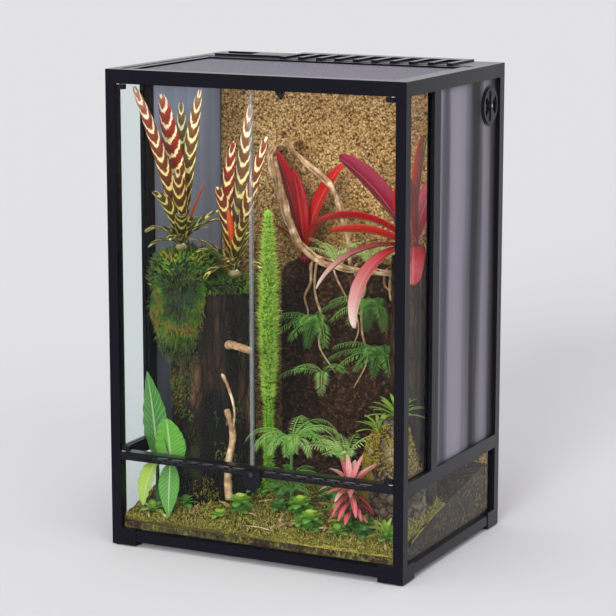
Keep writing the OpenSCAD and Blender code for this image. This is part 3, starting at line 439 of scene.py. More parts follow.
# %% Putting a mesh together
def put(name, parts, finish, slot, *stands_for, body="case", smooth=True):
    """Joins parts (points in mm, [face arrays], map, kind) into one piece. kind is a number
    that a finish may read to tell one part from the next."""
    first = np.cumsum([0] + [len(part[0]) for part in parts])
    points = np.concatenate([part[0] for part in parts]) / 1000
    faces = [f.astype(np.int64) + o for part, o in zip(parts, first) for f in part[1]]
    corners = np.concatenate([f.ravel() for f in faces])
    sizes = np.concatenate([np.full(len(f), f.shape[1]) for f in faces])
    where = np.concatenate([part[2] for part in parts])
    kind = np.concatenate([np.full(len(part[0]), part[3]) for part in parts])
    mesh = bpy.data.meshes.new(name)
    mesh.vertices.add(len(points))
    mesh.vertices.foreach_set("co", points.ravel())
    mesh.loops.add(len(corners))
    mesh.loops.foreach_set("vertex_index", corners.astype(np.int32))
    mesh.polygons.add(len(sizes))
    mesh.polygons.foreach_set("loop_start", (np.cumsum(sizes) - sizes).astype(np.int32))
    mesh.update(calc_edges=True)
    mesh.polygons.foreach_set("use_smooth", np.full(len(sizes), smooth))
    layer = mesh.uv_layers.new(name="along_across")
    layer.data.foreach_set("uv", where[corners].ravel().astype(np.float32))
    mesh.attributes.new("kind", "FLOAT", "POINT").data.foreach_set("value", kind.astype(np.float32))
    mesh.materials.append(finish)
    piece = placed(name, mesh)
    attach(piece, body)
    if stands_for:
        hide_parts(*stands_for)
    print(f"{name}: {int((sizes - 2).sum())} triangles")
    return piece


def mm(node):
    """The lowest and highest corner of a solid, in millimetres."""
    low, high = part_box(node)
    return np.array(low) * 1000, np.array(high) * 1000


print("lowest corner of the soil, in mm:", mm("substrate")[0].round(1))

# %% [markdown]
# The screen in the top and behind the vent slots is woven wire. A flat sheet with a see-through
# pattern would look right from afar only. So we make straight square wires a fixed pitch apart,
# a whole layer in one array.

# %% Straight wires
WIRE = 0.42


def wires(lo, hi, pitch, across, along, up):
    """Square wires that run in direction along, a pitch apart in direction across, between the
    corners lo and hi; up is the height of the layer. All corners at once, eight a wire."""
    lo, hi = np.array(lo, float), np.array(hi, float)
    count = int((hi[across] - lo[across]) / pitch)
    first = lo[across] + ((hi - lo)[across] - (count - 1) * pitch) / 2
    rest = 3 - across - along
    middles = (first + pitch * np.arange(count))[:, None, None]
    corner = np.zeros((count, 2, 4, 3))
    corner[..., across] = middles + WIRE / 2 * np.array([-1, 1, 1, -1])
    corner[..., rest] = up + WIRE / 2 * np.array([-1, -1, 1, 1])
    corner[:, 0, :, along] = lo[along]
    corner[:, 1, :, along] = hi[along]
    box = np.array([[0, 1, 5, 4], [1, 2, 6, 5], [2, 3, 7, 6], [3, 0, 4, 7], [3, 2, 1, 0],
                    [4, 5, 6, 7]])
    if np.linalg.det(np.eye(3)[[across, rest, along]]) < 0:
        box = box[:, ::-1]
    faces = (box[None] + 8 * np.arange(count)[:, None, None]).reshape(-1, 4)
    points = corner.reshape(-1, 3)
    return (points, [faces], points[:, :2] / 100, 0.0)


print("wire thickness:", WIRE, "mm")

# %% [markdown]
# Seen close up a screen is two layers of crossing wires. Real wires weave over and under each
# other, but that is too small to see here, so one straight layer lies over the other. The top
# screen moves with its lid. The vent's screen stays clear of the lock's pin in the middle.

# %% Woven wire
SCREEN_PITCH, VENT_PITCH = 1.7, 1.05
LOCK_HALF_WIDTH = 9.5
low, high = mm("screen_mesh")
level = (low[2] + high[2]) / 2
screen = [wires(low, high, SCREEN_PITCH, 0, 1, level + WIRE / 2),
          wires(low, high, SCREEN_PITCH, 1, 0, level - WIRE / 2)]
put("top_screen_wires", screen, wire, "steel_mesh", "screen_mesh", body="screen_lid",
    smooth=False)
low, high = mm("front_vent_mesh")
deep = (low[1] + high[1]) / 2
vent = []
for left, right in ((low[0], -LOCK_HALF_WIDTH), (LOCK_HALF_WIDTH, high[0])):
    span = (left, *low[1:]), (right, *high[1:])
    vent.append(wires(*span, VENT_PITCH, 0, 2, deep + WIRE / 2))
    vent.append(wires(*span, VENT_PITCH, 2, 0, deep - WIRE / 2))
put("vent_wires", vent, vent_wire, "steel_mesh", "front_vent_mesh", smooth=False)

# %% [markdown]
# Bark, soil and stone all want the same thing: random bumps with small bumps on the large ones.
# A displacement in the material would show only in some viewers. So the mesh itself is bumpy:
# we put random numbers on a coarse net, slide smoothly from one to the next, and add finer nets
# at half the height each time.

# %% Random bumps
LAYERS = 4


def drift(u, v, nu, nv, seed):
    """Smooth random values from -1 to 1. u from 0 to 1 wraps round, v doesn't: random numbers on
    a net of nu by nv cells, eased between the four nearest by 3 s s - 2 s s s."""
    net = np.random.default_rng(seed).uniform(-1, 1, (nu, nv + 2))
    x, y = (u % 1) * nu, np.clip(v, 0, 1) * nv
    i, j = x.astype(int) % nu, y.astype(int)
    s, t = x - np.floor(x), y - j
    s, t = s * s * (3 - 2 * s), t * t * (3 - 2 * t)
    k = (i + 1) % nu
    near = net[i, j] * (1 - s) + net[k, j] * s
    far = net[i, j + 1] * (1 - s) + net[k, j + 1] * s
    return near * (1 - t) + far * t


def crags(u, v, nu, nv, seed):
    """Bumps on bumps, each layer twice as fine and half as high. One half minus the size of a
    layer's value gives ridges with creases between them."""
    total = sum((0.5 - abs(drift(u, v, nu * 2 ** k, nv * 2 ** k, seed + k))) * 2 / 2 ** k
                for k in range(LAYERS))
    return total / 2


print("crags sample:", crags(np.array([0.1, 0.6]), np.array([0.2, 0.9]), 8, 4, 1).round(3))

# %% [markdown]
# The back wall is a slab of pressed cork granules. Real ones are a few millimetres across, tan
# with some dark and some pale grains. Modelling each grain would take millions of faces. So a
# cell pattern gives each grain its own colour here, and a fine net of points gives the lumps
# further down. Loose soil and the bark bank are finished in the same way, only darker.

# %% Granule finish
def granules(name, stops, scale, shade="d8cdbb"):
    """Each cell of a random cell pattern takes its own colour from a ramp, darker in the joints
    between cells, and a slow noise shades whole areas."""
    m, tree, shader = start(name, Roughness=0.85)
    cell = add(tree, "TexVoronoi", {"Scale": scale, "Vector": here(tree)}).outputs
    pick = add(tree, "SeparateColor", {0: cell["Color"]}).outputs[0]
    area = noise(tree, here(tree), 9.0, 3.0)
    colour = shaded(tree, ramp(tree, pick, stops), ramp(tree, area, [(0.35, "ffffff"), (0.65, shade)]))
    joint = ramp(tree, cell["Distance"], [(0.35, "ffffff"), (0.85, "8a8078")])
    paint(tree, shader, shaded(tree, colour, joint))
    relief(tree, shader, calc(tree, "SUBTRACT", 1.0, cell["Distance"]), 0.8, 0.0012)
    return m


CORK = [(0.0, "5e3d20"), (0.07, "80572c"), (0.16, "b48852"), (0.55, "d0a469"), (0.85, "ddb67f"),
        (1.0, "eed3a4")]
cork_granules = granules("pressed_granules", CORK, 260.0)
dark_granules = granules("dark_granules", [(0.0, "1c120b"), (0.4, "38241a"), (0.75, "553526"),
                                           (1.0, "7a5238")], 200.0, "b7a898")
loam = granules("loam", [(0.0, "1a110c"), (0.5, "3a281b"), (0.85, "5c4228"), (1.0, "87683c")],
                190.0)
print("finishes so far:", len(bpy.data.materials))

# %% [markdown]
# Where the soil stands against the front glass, moss has grown down between the two in patches.
# It could be a thin mesh of its own, but it is pressed flat, so colour is enough: a mossy one
# takes the soil's place near the front wherever a noise is high.

# %% Moss behind the glass
MOSSY_DEPTH = 0.003


def mossy_front(m, front):
    """Where a point lies in front of the place front and a noise is high, its colour changes
    from the finish's own to a mossy one."""
    tree = m.node_tree
    shader = tree.nodes["Principled BSDF"]
    under = shader.inputs["Base Color"].links[0].from_socket
    growth = noise(tree, stretched(tree, here(tree), (1, 1, 0.45)), 240.0, 5.0)
    green = ramp(tree, growth, [(0.35, "22200c"), (0.5, "4a4420"), (0.66, "857a3a")])
    share = scaled(tree, noise(tree, here(tree), 40.0, 4.0), of=(0.44, 0.58))
    near = calc(tree, "LESS_THAN", axes(tree, here(tree))[1], front)
    paint(tree, shader, blended(tree, calc(tree, "MULTIPLY", share, near), under, green))


soil_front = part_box("substrate")[0][1]
mossy_front(loam, soil_front + MOSSY_DEPTH)
dress("substrate", loam)
print("soil's front face at", round(soil_front * 1000, 1), "mm")

# %% [markdown]
# The back wall, the bark bank and the moss bed each have one rough face, and flat sides and
# back. A box with a displaced front would need cutting and joining. A net of points is simpler:
# it gives the face, and four corners behind it close the shape.

# %% A rough face closed behind
def spread(*values):
    """Rows and columns of numbers filled up to one net, with its numbers side by side."""
    return np.stack(np.broadcast_arrays(*values), -1)


def closed_face(face, back):
    """A net of points (rows, columns, 3) closed by four corners behind it, given in the order of
    the net's own corners."""
    n, m = face.shape[:2]
    idx = np.arange(n * m).reshape(n, m)
    quads = np.stack([idx[:-1, :-1], idx[:-1, 1:], idx[1:, 1:], idx[1:, :-1]], -1).reshape(-1, 4)
    b = n * m
    sides = [np.concatenate([idx[0, ::-1], [b, b + 1]])[None],
             np.concatenate([idx[::-1, -1], [b + 1, b + 2]])[None],
             np.concatenate([idx[-1], [b + 2, b + 3]])[None],
             np.concatenate([idx[:, 0], [b + 3, b]])[None],
             b + np.array([[1, 0, 3, 2]])]
    points = np.concatenate([face.reshape(-1, 3), np.asarray(back, float)])
    return (points, [quads, *sides], points[:, :2] / 100, 0.0)


print("a net of 2 by 3 points:", spread(np.zeros((2, 1)), np.zeros((1, 3))).shape)

# %% [markdown]
# The back wall fills the case from side to side. Its lumps are about as wide as a granule, and
# they could come from the granules' own colour pattern. But that pattern lives in the finish,
# so two random nets of the same size do, and nobody sees that they don't match.

# %% Back wall
WALL_STEP = 3.0
WALL_DEPTH = 1.2


def granule_wall(low, high):
    """A slab between two corners. Its front has lumps up to 2.4 mm deep from two random nets."""
    (x0, y0, z0), (x1, back, z1) = low, high
    x = np.linspace(x0, x1, int((x1 - x0) / WALL_STEP))[None, :]
    z = np.linspace(z0, z1, int((z1 - z0) / WALL_STEP))[:, None]
    u, v = (x - x0) / (x1 - x0), (z - z0) / (z1 - z0)
    lumps = 0.6 * drift(u, v, 160, 200, 5) + 0.4 * drift(u, v, 60, 80, 6)
    face = spread(x, y0 + WALL_DEPTH - WALL_DEPTH * lumps, z)
    return closed_face(face, [[x0, back, z0], [x1, back, z0], [x1, back, z1], [x0, back, z1]])


put("granule_wall", [granule_wall(*mm("background_panel"))], cork_granules, "background",
    "background_panel")

# %% [markdown]
# The cork trunk, the stump, the moss cushion, the rocks and the core of the club moss are all
# lumpy columns. Each could be sculpted by hand, but rings of wavy ellipses, one over the other,
# give any height and girth from a few numbers. Closing rings draw in to a low dome, so that no
# top looks sawn off.

# %% Lumpy columns
DOME_RINGS = 6


def rings(grid):
    """Faces between the rings of a (rings, around, 3) grid that closes round on itself, with a
    flat face over each end."""
    n, k = grid.shape[:2]
    i = np.arange(n - 1)[:, None] * k
    j = np.arange(k)[None, :]
    after = (j + 1) % k
    walls = np.stack([i + j, i + after, i + k + after, i + k + j], -1).reshape(-1, 4)
    return [walls, np.arange(k)[None, ::-1], (n - 1) * k + np.arange(k)[None, :]]


def solid(grid, where, kind=0.0):
    """A grid of closed rings as one part."""
    return (grid.reshape(-1, 3), rings(grid), where, kind)


def column(at, z0, z1, rx, ry, lobes, wave, bulge=0.0, foot=1.0, tip=1.0, ease=1.0, around=90,
           levels=60, dome=0.12, rough=0.0, seed=1, cells=(9, 4), hollow=None):
    """Rings of radius (foot + (tip - foot) t^ease)(1 + bulge sin(180 t)) times a wavy share,
    plus crags of height rough. After t = 1 the rings shrink to a dome. hollow is the place of
    a dent: its middle and half width in t and in turns, and its depth."""
    arc_over = np.linspace(0.25, 1.55, DOME_RINGS)
    t = np.concatenate([np.linspace(0, 1, levels), np.ones(DOME_RINGS)])[:, None]
    draw = np.concatenate([np.ones(levels), np.cos(arc_over)])[:, None]
    lift = np.concatenate([np.zeros(levels), np.sin(arc_over)])[:, None]
    a = np.linspace(0, 360, around, endpoint=False)[None, :]
    rad = np.radians
    share = (foot + (tip - foot) * t ** ease) * (1 + bulge * np.sin(rad(180 * t)))
    wavy = 1 + wave * np.sin(rad(lobes * a + 150 * t)) + wave / 2 * np.cos(rad(3 * a - 200 * t))
    skin = rough * crags(a / 360, t * draw, *cells, seed)
    if hollow:
        t0, dt, a0, da, deep = hollow
        skin = skin - deep * np.exp(-((t - t0) / dt) ** 4 - ((a / 360 - a0) / da) ** 2)
    r = share * wavy
    x = at[0] + (rx * r + skin) * draw * np.cos(rad(a))
    y = at[1] + (ry * r + skin) * draw * np.sin(rad(a))
    z = z0 + (z1 - z0) * t + lift * dome * (rx + ry) / 2 + 0.4 * skin * (draw < 1)
    return spread(x, y, z), spread(t, a / 360).reshape(-1, 2)


print("a plain column has", column((0, 0), 0, 100, 10, 10, 3, 0.0)[0].shape[0], "rings")

# %% [markdown]
# The soil rises from the front glass to the back wall in two straight slopes, and every plant
# stands on it. A height typed for each plant would be wrong as soon as one moved. So one
# function gives the soil's height at any place, as the solid model has it.

# %% Heights of the soil
SOIL_Y = np.array([-213.7, -13.65, 186.4])
SOIL_Z = np.array([45.3, 95.3, 129.3])
MOSS = 9.0


def soil_z(y):
    """Height of the soil at a place front to back: two straight slopes."""
    return np.interp(y, SOIL_Y, SOIL_Z)


def on_soil(x, y, lift=0.0):
    """A point above the moss, lifted by a stem's length."""
    return np.array([x, y, soil_z(y) + MOSS + lift])


print("soil at the front and back:", soil_z(SOIL_Y[0]), soil_z(SOIL_Y[-1]))

# %% [markdown]
# Moss, needles and small leaflets are far too many to model one by one in detail, and hair
# strands don't leave Blender as a mesh. So each is a sliver: a flat diamond with a ridge above
# and below, six points and eight faces, turned to its own direction. Whole beds of them are
# computed in one go.

# %% Slivers
SLIVER = np.array([[4, 3, 0], [2, 4, 0], [5, 2, 0], [3, 5, 0], [3, 4, 1], [4, 2, 1], [2, 5, 1],
                   [5, 3, 1]])


def unit(v):
    """Vectors scaled to length one."""
    return v / np.maximum(np.linalg.norm(v, axis=-1, keepdims=True), 1e-9)


def sliver_faces(count):
    """The eight faces of a sliver, once for each."""
    return (SLIVER[None] + 6 * np.arange(count)[:, None, None]).reshape(-1, 3)


def slivers(base, way, flat, length, width, thick=0.25, belly=0.4, kind=0.0):
    """For each base point a diamond along way, with its width across way and flat. Points are
    the base, the tip, and four at a share belly of the length."""
    way = unit(way)
    across = unit(np.cross(flat, way))
    over = np.cross(way, across)
    length, width = (np.broadcast_to(q, len(base))[:, None] for q in (length, width))
    mid = base + belly * length * way
    pts = np.stack([base, base + length * way, mid - across * width / 2, mid + across * width / 2,
                    mid + over * width * thick, mid - over * width * thick], 1)
    uv = np.tile([[0, 0.5], [1, 0.5], [belly, 0], [belly, 1], [belly, 0.5], [belly, 0.5]],
                 (len(base), 1))
    return (pts.reshape(-1, 3), [sliver_faces(len(base))], uv, kind)


def mixed(part, count, rng, kinds):
    """The same slivers shared out at random over several kinds."""
    pts, _, uv, _ = part
    pick = rng.choice(len(kinds), count)
    out = []
    for k, value in enumerate(kinds):
        own = np.flatnonzero(pick == k)
        six = (own[:, None] * 6 + np.arange(6)).ravel()
        out.append((pts[six], [sliver_faces(len(own))], uv[six], value))
    return out


print("a thousand slivers have", len(sliver_faces(1000)), "faces")

# %% [markdown]
# A leaf's colour runs along it and across it, and differs from leaf to leaf. Each leaf could
# have its own material, but there are hundreds of leaves. The map gives the first two and the
# kind number gives the third, so one finish serves a whole plant. Veins are read from the map
# too.

# %% Reading a leaf's map
MIDRIB = 0.035   # half its width, in widths of the leaf


def leaf_numbers(tree):
    """The kind of a leaf, the share along it, and the distance from its midrib in widths."""
    kind = add(tree, "Attribute", attribute_name="kind").outputs["Fac"]
    along, across, _ = axes(tree, here(tree, "UV"))
    return kind, along, calc(tree, "ABSOLUTE", calc(tree, "SUBTRACT", across, 0.5))


def vein_share(tree, t, off, rib, veins):
    """How pale the veins are: rib on the midrib, and six tenths of it on side veins, which run
    where the fraction of veins times t, less five times off, is small."""
    vein = calc(tree, "MULTIPLY", calc(tree, "LESS_THAN", off, MIDRIB), rib)
    if not veins:
        return vein
    slant = calc(tree, "SUBTRACT", calc(tree, "MULTIPLY", t, veins), calc(tree, "MULTIPLY", off, 5.0))
    thin = calc(tree, "LESS_THAN", calc(tree, "FRACT", slant), 0.14)
    return calc(tree, "MAXIMUM", vein, calc(tree, "MULTIPLY", thin, rib * 0.6))


print("the midrib takes up", 2 * MIDRIB, "of a leaf's width")

# %% [markdown]
# A leaf's colour is laid on in washes, as in a painting: first the kind's own colour, then
# painted shade at its foot, fine streaks, the veins and last the tip. One mixed ramp couldn't do it,
# because each wash follows another direction on the leaf.

# %% Leaf finish
PATCH_SHARE = 0.62
TIPPED = 0.999   # kinds above this end in the tip colour


def leafy(name, kinds, along, tip="ffffff", rib=0.25, streak=0.35, rough=0.38, veins=0.0, ends=2.2,
          speckle=False, patches=None, **sockets):
    """Colour of the kind, times a painted shade along the leaf, darkest at the foot, times streaks
    along it, with a paler midrib, and with the tip colour at the ends of kinds from 1 to 2. speckle
    adds fine dark spots in space, for moss, and patches mixes in the colours of a broad noise."""
    m, tree, shader = start(name, Roughness=rough, **sockets)
    kind, t, off = leaf_numbers(tree)
    colour = ramp(tree, calc(tree, "FRACT", kind), kinds)
    if patches:
        broad = ramp(tree, noise(tree, here(tree), 13.0), patches)
        colour = blended(tree, PATCH_SHARE, colour, broad)
    # Painted shade: the ramp along darkens each leaf towards its foot.
    colour = shaded(tree, colour, ramp(tree, t, along))
    wisps = noise(tree, stretched(tree, here(tree, "UV"), (2.5, 16, 1)), 3.0, 3.0)
    lines = ramp(tree, wisps, [(0.3, "909090"), (0.7, "ffffff")])
    colour = blended(tree, streak, colour, shaded(tree, colour, lines))
    if speckle:
        fine = noise(tree, here(tree), 420.0, 3.0)
        colour = shaded(tree, colour, ramp(tree, fine, [(0.38, "6e6850"), (0.52, "ffffff")]))
    colour = blended(tree, vein_share(tree, t, off, rib, veins), colour, tone("f4f2d8"))
    tipped = calc(tree, "GREATER_THAN", kind, TIPPED)
    end = calc(tree, "MULTIPLY", tipped, calc(tree, "POWER", t, ends))
    paint(tree, shader, blended(tree, end, colour, tone(tip)))
    relief(tree, shader, wisps, 0.25, 0.0006)
    return m


print("leaf finish ready")

# %% [markdown]
# Each plant now needs only its own ramp, from its darkest kind to its brightest. The red leaves
# are waxy, so they get a thin clear coat over the colour. Only the large green leaves are wide
# enough to show side veins.

# %% The plants' colours
# Painted shade: leaves are darker at the foot, where they crowd together.
PAINTED_SHADE_AT_FOOT = [(0.0, "c8c8c8"), (0.4, "ffffff"), (1.0, "ffffff")]
RED = [(0.0, "96103e"), (0.3, "be1528"), (0.6, "d5261c"), (0.85, "e4501f"), (0.97, "a9c638")]
PINK = [(0.0, "c9404e"), (0.5, "e06a72"), (0.97, "f0a2a0")]
GREEN = [(0.0, "1f4a1c"), (0.3, "35702a"), (0.6, "62a632"), (0.97, "bcd444")]
FERN = [(0.0, "326a24"), (0.35, "5ca43c"), (0.65, "98d25a"), (0.97, "e4f49c")]
red_leaf = leafy("red_leaf", RED, PAINTED_SHADE_AT_FOOT, "f6d2ca", rib=0.1, streak=0.6, rough=0.27,
                 ends=3.2, Coat_Weight=0.4, Coat_Roughness=0.18)
pink_leaf = leafy("pink_leaf", PINK, [(0.0, "b06060"), (0.6, "ffffff")], "f4c4c0", rib=0.3)
green_leaf = leafy("green_leaf", GREEN, PAINTED_SHADE_AT_FOOT, rib=0.3, rough=0.3, veins=13.0)
fern_leaf = leafy("fern_leaf", FERN, PAINTED_SHADE_AT_FOOT, rough=0.45)
print("finishes so far:", len(bpy.data.materials))

# %% [markdown]
# Needles, moss and lichen are too fine to have veins. They could take one green each, but real
# moss drifts from dark green through yellow to dead brown. So they use the leaf finish without
# a midrib, with many kinds, and the hanging moss has broad patches as well.

# %% Moss finishes
NEEDLES = [(0.0, "74b82c"), (0.5, "b0ec3e"), (0.97, "ecfc80")]
TUFTS = [(0.0, "706c24"), (0.2, "a08838"), (0.45, "c6b944"), (0.7, "ecd85a"), (0.97, "fdf09a")]
HANGING = [(0.0, "1c2a10"), (0.3, "3a5c1c"), (0.5, "6f9428"), (0.7, "a3a838"), (0.86, "8a6a3e"),
           (0.97, "b8925e")]
PATCHES = [(0.36, "121d16"), (0.44, "1e4a34"), (0.5, "4f8a2c"), (0.55, "8fb436"), (0.6, "c0a238"),
           (0.68, "a87c50")]
LICHEN = [(0.0, "9a7c1a"), (0.5, "cfa62a"), (0.97, "f0d650")]


def painted_shade_from(shade):
    """Painted shade: darker where a needle leaves its stem."""
    return [(0.0, shade), (1.0, "ffffff")]


fuzz = leafy("club_moss_green", NEEDLES, painted_shade_from("909090"), rib=0.0, rough=0.5)
tuft = leafy("moss_tufts", TUFTS, painted_shade_from("8a8a70"), rib=0.0, rough=0.6, speckle=True)
hanging = leafy("hanging_moss", HANGING, painted_shade_from("707060"), rib=0.0, rough=0.6, patches=PATCHES)
lichen = leafy("yellow_lichen", LICHEN, painted_shade_from("8a8a70"), rib=0.0, rough=0.6)
print("finishes so far:", len(bpy.data.materials))

# %% [markdown]
# The striped bromeliads have pale wavy lines across dark leaves. They could be painted on an
# image, but every leaf has its own length and the lines keep one pace. So the share along the
# leaf, bent back away from the midrib and shaken by a noise, counts the bands.

# %% Banded leaf
BANDS = 10.5
LINE = [(0.0, "000000"), (0.06, "ffffff"), (0.26, "ffffff"), (0.36, "000000"), (1.0, "000000")]
PALE_LINE = [(0.0, "a9a247"), (0.3, "e3cf74"), (0.65, "f2dfa6"), (1.0, "f4e9dc")]
RED_BAND = [(0.0, "3c3a14"), (0.2, "5c2410"), (0.55, "841f12"), (0.85, "9c2c1c"), (1.0, "d98a6a")]
GREEN_BAND = [(0.0, "2b2f12"), (0.4, "4a5320"), (0.8, "6a5a28"), (1.0, "8a7a4a")]
BAND_SHADE = [(0.4, "ffffff"), (0.55, "b89070"), (0.9, "ffffff")]


def banded_leaf(name):
    """Cross bands: the share along the leaf times the number of bands, less the square of the
    distance from the midrib, plus a little noise. Its fraction says pale line or dark band."""
    m, tree, shader = start(name, Roughness=0.36)
    kind, t, off = leaf_numbers(tree)
    off = calc(tree, "MULTIPLY", off, 2.0)
    shake = noise(tree, here(tree), 170.0)
    bend = calc(tree, "MULTIPLY", calc(tree, "MULTIPLY", off, off), 0.9)
    place = calc(tree, "SUBTRACT", calc(tree, "MULTIPLY", t, BANDS), bend)
    turn = calc(tree, "FRACT", calc(tree, "ADD", place, calc(tree, "MULTIPLY", shake, 0.55)))
    dark = blended(tree, kind, ramp(tree, t, RED_BAND), ramp(tree, t, GREEN_BAND))
    dark = blended(tree, 0.5, dark, shaded(tree, dark, ramp(tree, turn, BAND_SHADE)))
    paint(tree, shader, blended(tree, ramp(tree, turn, LINE), dark, ramp(tree, t, PALE_LINE)))
    relief(tree, shader, shake, 0.2, 0.0005)
    return m


banded = banded_leaf("banded_leaf")
print("bands on a long leaf:", BANDS)

# %% [markdown]
# Cork bark is furrowed: upright plates with dark joints, and moss where it stays damp. Layers
# of images could be painted for each log. A cell pattern drawn out in height gives plates of
# the right size on all of them, and the rocks take the same finish with rounder cells. The
# trunk has a hollow as well, whose inside is painted nearly black as shade.

# %% Furrowed finish
HOLLOW = (0.2, 0.36, 0.815, 0.062, 13.0)   # middle, half width, middle, half width, depth in mm


def painted_hollow_shade(tree, area, hollow):
    """The share of painted shade in the hollow: from 1 to 0 as the distance from the hollow's
    middle, measured in its half widths and roughened by the noise area, goes outwards over its rim."""
    t0, dt, a0, da, _ = hollow
    t, a, _ = axes(tree, here(tree, "UV"))
    off_t = calc(tree, "DIVIDE", calc(tree, "SUBTRACT", t, t0), dt)
    off_a = calc(tree, "DIVIDE", calc(tree, "SUBTRACT", a, a0), da)
    off_t = calc(tree, "POWER", calc(tree, "ABSOLUTE", off_t), 4.0)
    away = calc(tree, "ADD", off_t, calc(tree, "MULTIPLY", off_a, off_a))
    away = calc(tree, "ADD", away, calc(tree, "MULTIPLY", area, 0.9))
    return scaled(tree, away, of=(1.75, 1.1))


def furrowed(name, stops, moss="4d5a1e", share=0.3, upright=0.22, hollow=None):
    """Bark: plates of a cell pattern drawn out upright, with dark joints, fine grain over them,
    and moss where a slow noise is high. A hollow's inside gets painted shade, nearly black."""
    m, tree, shader = start(name, Roughness=0.85)
    laid = stretched(tree, here(tree), (1, 1, upright))
    bent = noise(tree, laid, 22.0, 8.0, 0.65)
    cell = {"Scale": 62.0, "Vector": laid}
    plates = add(tree, "TexVoronoi", cell, feature="DISTANCE_TO_EDGE").outputs["Distance"]
    groove = scaled(tree, plates, of=(0.0, 0.22))
    joints = ramp(tree, groove, [(0.0, "6a5a50"), (0.5, "ffffff")])
    colour = shaded(tree, ramp(tree, bent, stops), joints)
    area = noise(tree, here(tree), 11.0, 6.0)
    bare = 0.62 - 0.2 * share
    cover = ramp(tree, area, [(bare, "000000"), (bare + 0.06, "ffffff")])
    colour = blended(tree, cover, colour, ramp(tree, bent, [(0.35, "1e2a0c"), (0.6, moss)]))
    if hollow:
        # Painted shade: the hollow's inside is coloured nearly black.
        colour = blended(tree, painted_hollow_shade(tree, area, hollow), colour, tone("060403"))
    paint(tree, shader, colour)
    height = calc(tree, "ADD", calc(tree, "MULTIPLY", groove, 0.5), bent)
    relief(tree, shader, height, 1.0, 0.006)
    return m


print("the hollow reaches up to", round(HOLLOW[0] + HOLLOW[1], 2), "of the trunk's height")

# %% [markdown]
# Wet cork in the shade is nearly black, and the stump in the light is brown. Dry wood is pale
# and has no plates, so it takes the plain finish. Rock keeps its plates nearly as tall as they
# are wide, with yellow instead of green where something grows on it.

# %% Bark, wood and stone
bark = furrowed("cork_bark", [(0.36, "080504"), (0.47, "150d09"), (0.58, "2e1b13"), (0.7, "694a30")],
                "3c3a16", 0.1, hollow=HOLLOW)
lit_bark = furrowed("brown_bark", [(0.36, "1a0f09"), (0.47, "3a2216"), (0.58, "603e28"),
                                   (0.7, "98704c")], share=0.2)
dry_wood = plain("dry_wood", [(0.3, "78503a"), (0.5, "b58b66"), (0.7, "ecd0b0")], 60,
                 gloss=(0.6, 0.8), bump=0.6, depth=0.001, detail=6)
stone = furrowed("rough_stone", [(0.34, "2a201b"), (0.45, "5c4a3f"), (0.58, "8c7866"),
                                 (0.72, "c4b09a")], "b89a2c", 0.5, 0.9)
print("finishes so far:", len(bpy.data.materials))

# %% [markdown]
# A tall cork trunk carries the striped plants, a cork stump stands to the right, and a pile of
# rock leans at its foot. All three are columns with crags on them. They start a little below
# the soil, so that no gap shows at the foot, and end a little low, because a dome closes them.

# %% Cork and rocks
TRUNK, STUMP, ROCK = (-160, -80), (226, -16), (214, -84)
TRUNK_TOP, STUMP_TOP, BANK_TOP = 500, 560, 500
BURIED, ROCK_BURIED = 20, 14
trunk_skin, trunk_map = column(TRUNK, soil_z(TRUNK[1]) - BURIED, TRUNK_TOP - 4, 73, 58, 7, 0.05, 0.05,
                               rough=9, seed=11, cells=(26, 5), dome=0.06, around=240,
                               levels=150, hollow=HOLLOW)
put("cork_trunk_bark", [solid(trunk_skin, trunk_map)], bark, "cork", "cork_trunk")
stump = column(STUMP, soil_z(STUMP[1]) - BURIED, STUMP_TOP - 3, 41, 37, 6, 0.05, rough=6, seed=21,
               cells=(12, 5), dome=0.06, around=100, levels=110)
put("cork_stump_bark", [solid(*stump)], lit_bark, "cork", "cork_stump")
rock_foot = soil_z(ROCK[1]) - ROCK_BURIED
rock_skin, rock_map = column(ROCK, rock_foot, rock_foot + 196, 56, 23, 4, 0.08, 0.1, 1, 0.5, 2,
                             rough=7, seed=31, cells=(7, 7), dome=0.2, around=90, levels=70)
put("rough_rocks", [solid(rock_skin, rock_map)], stone, "stone", "rocks")

# %% [markdown]
# The bark bank stands against the back wall. A box would have a hard edge at the top. So its
# face is a profile carried along the case: up the front, round a soft edge and back over the
# top, with crags pushing it in.

# %% Bark bank
BANK = (-112.0, 176.0, 102.4, 186.4)
BANK_BURIED = 16
CLIMB = 0.82   # the share of the rows that climb the front


def bank_part():
    """Rows climb the front, then run back over the top; crags push the face in by up to 8 mm."""
    x0, x1, front, back = BANK
    x = np.linspace(x0, x1, 110)[None, :]
    foot = soil_z(front) - BANK_BURIED
    v = np.linspace(0, 1, 150)[:, None]
    up = np.minimum(v / CLIMB, 1)
    over = np.maximum((v - CLIMB) / 0.18, 0)
    edge = 10 * np.exp(-((v - CLIMB) / 0.03) ** 2)
    u = (x - x0) / (x1 - x0)
    push = 4 * (1 - crags(u * 0.97, v, 14, 18, 41))
    y = front + 5 + 5 * np.sin(np.radians(1.9 * x + 40)) + push * (1 - over) + edge
    y = y + (back - y) * over
    z = foot + (BANK_TOP - foot) * up - 0.5 * edge - push * (over > 0) * (1 - over)
    corners = [[x0, back, foot], [x1, back, foot], [x1, back, BANK_TOP], [x0, back, BANK_TOP]]
    return closed_face(spread(x, y, z), corners)


put("bark_bank_face", [bank_part()], dark_granules, "cork", "bark_bank")

# %% [markdown]
# Moss covers the front half of the soil in low cushions. Sprigs alone would let the soil show
# through between them. So a bumpy bed lies under them: the soil's height plus two random nets,
# one for the cushions and one for their unevenness.

# %% Moss bed
NARROW, WIDE = 279.4, 288.4   # half widths of the bed between the front posts and behind them
MOSS_FRONT, MOSS_BACK = -213.4, -10


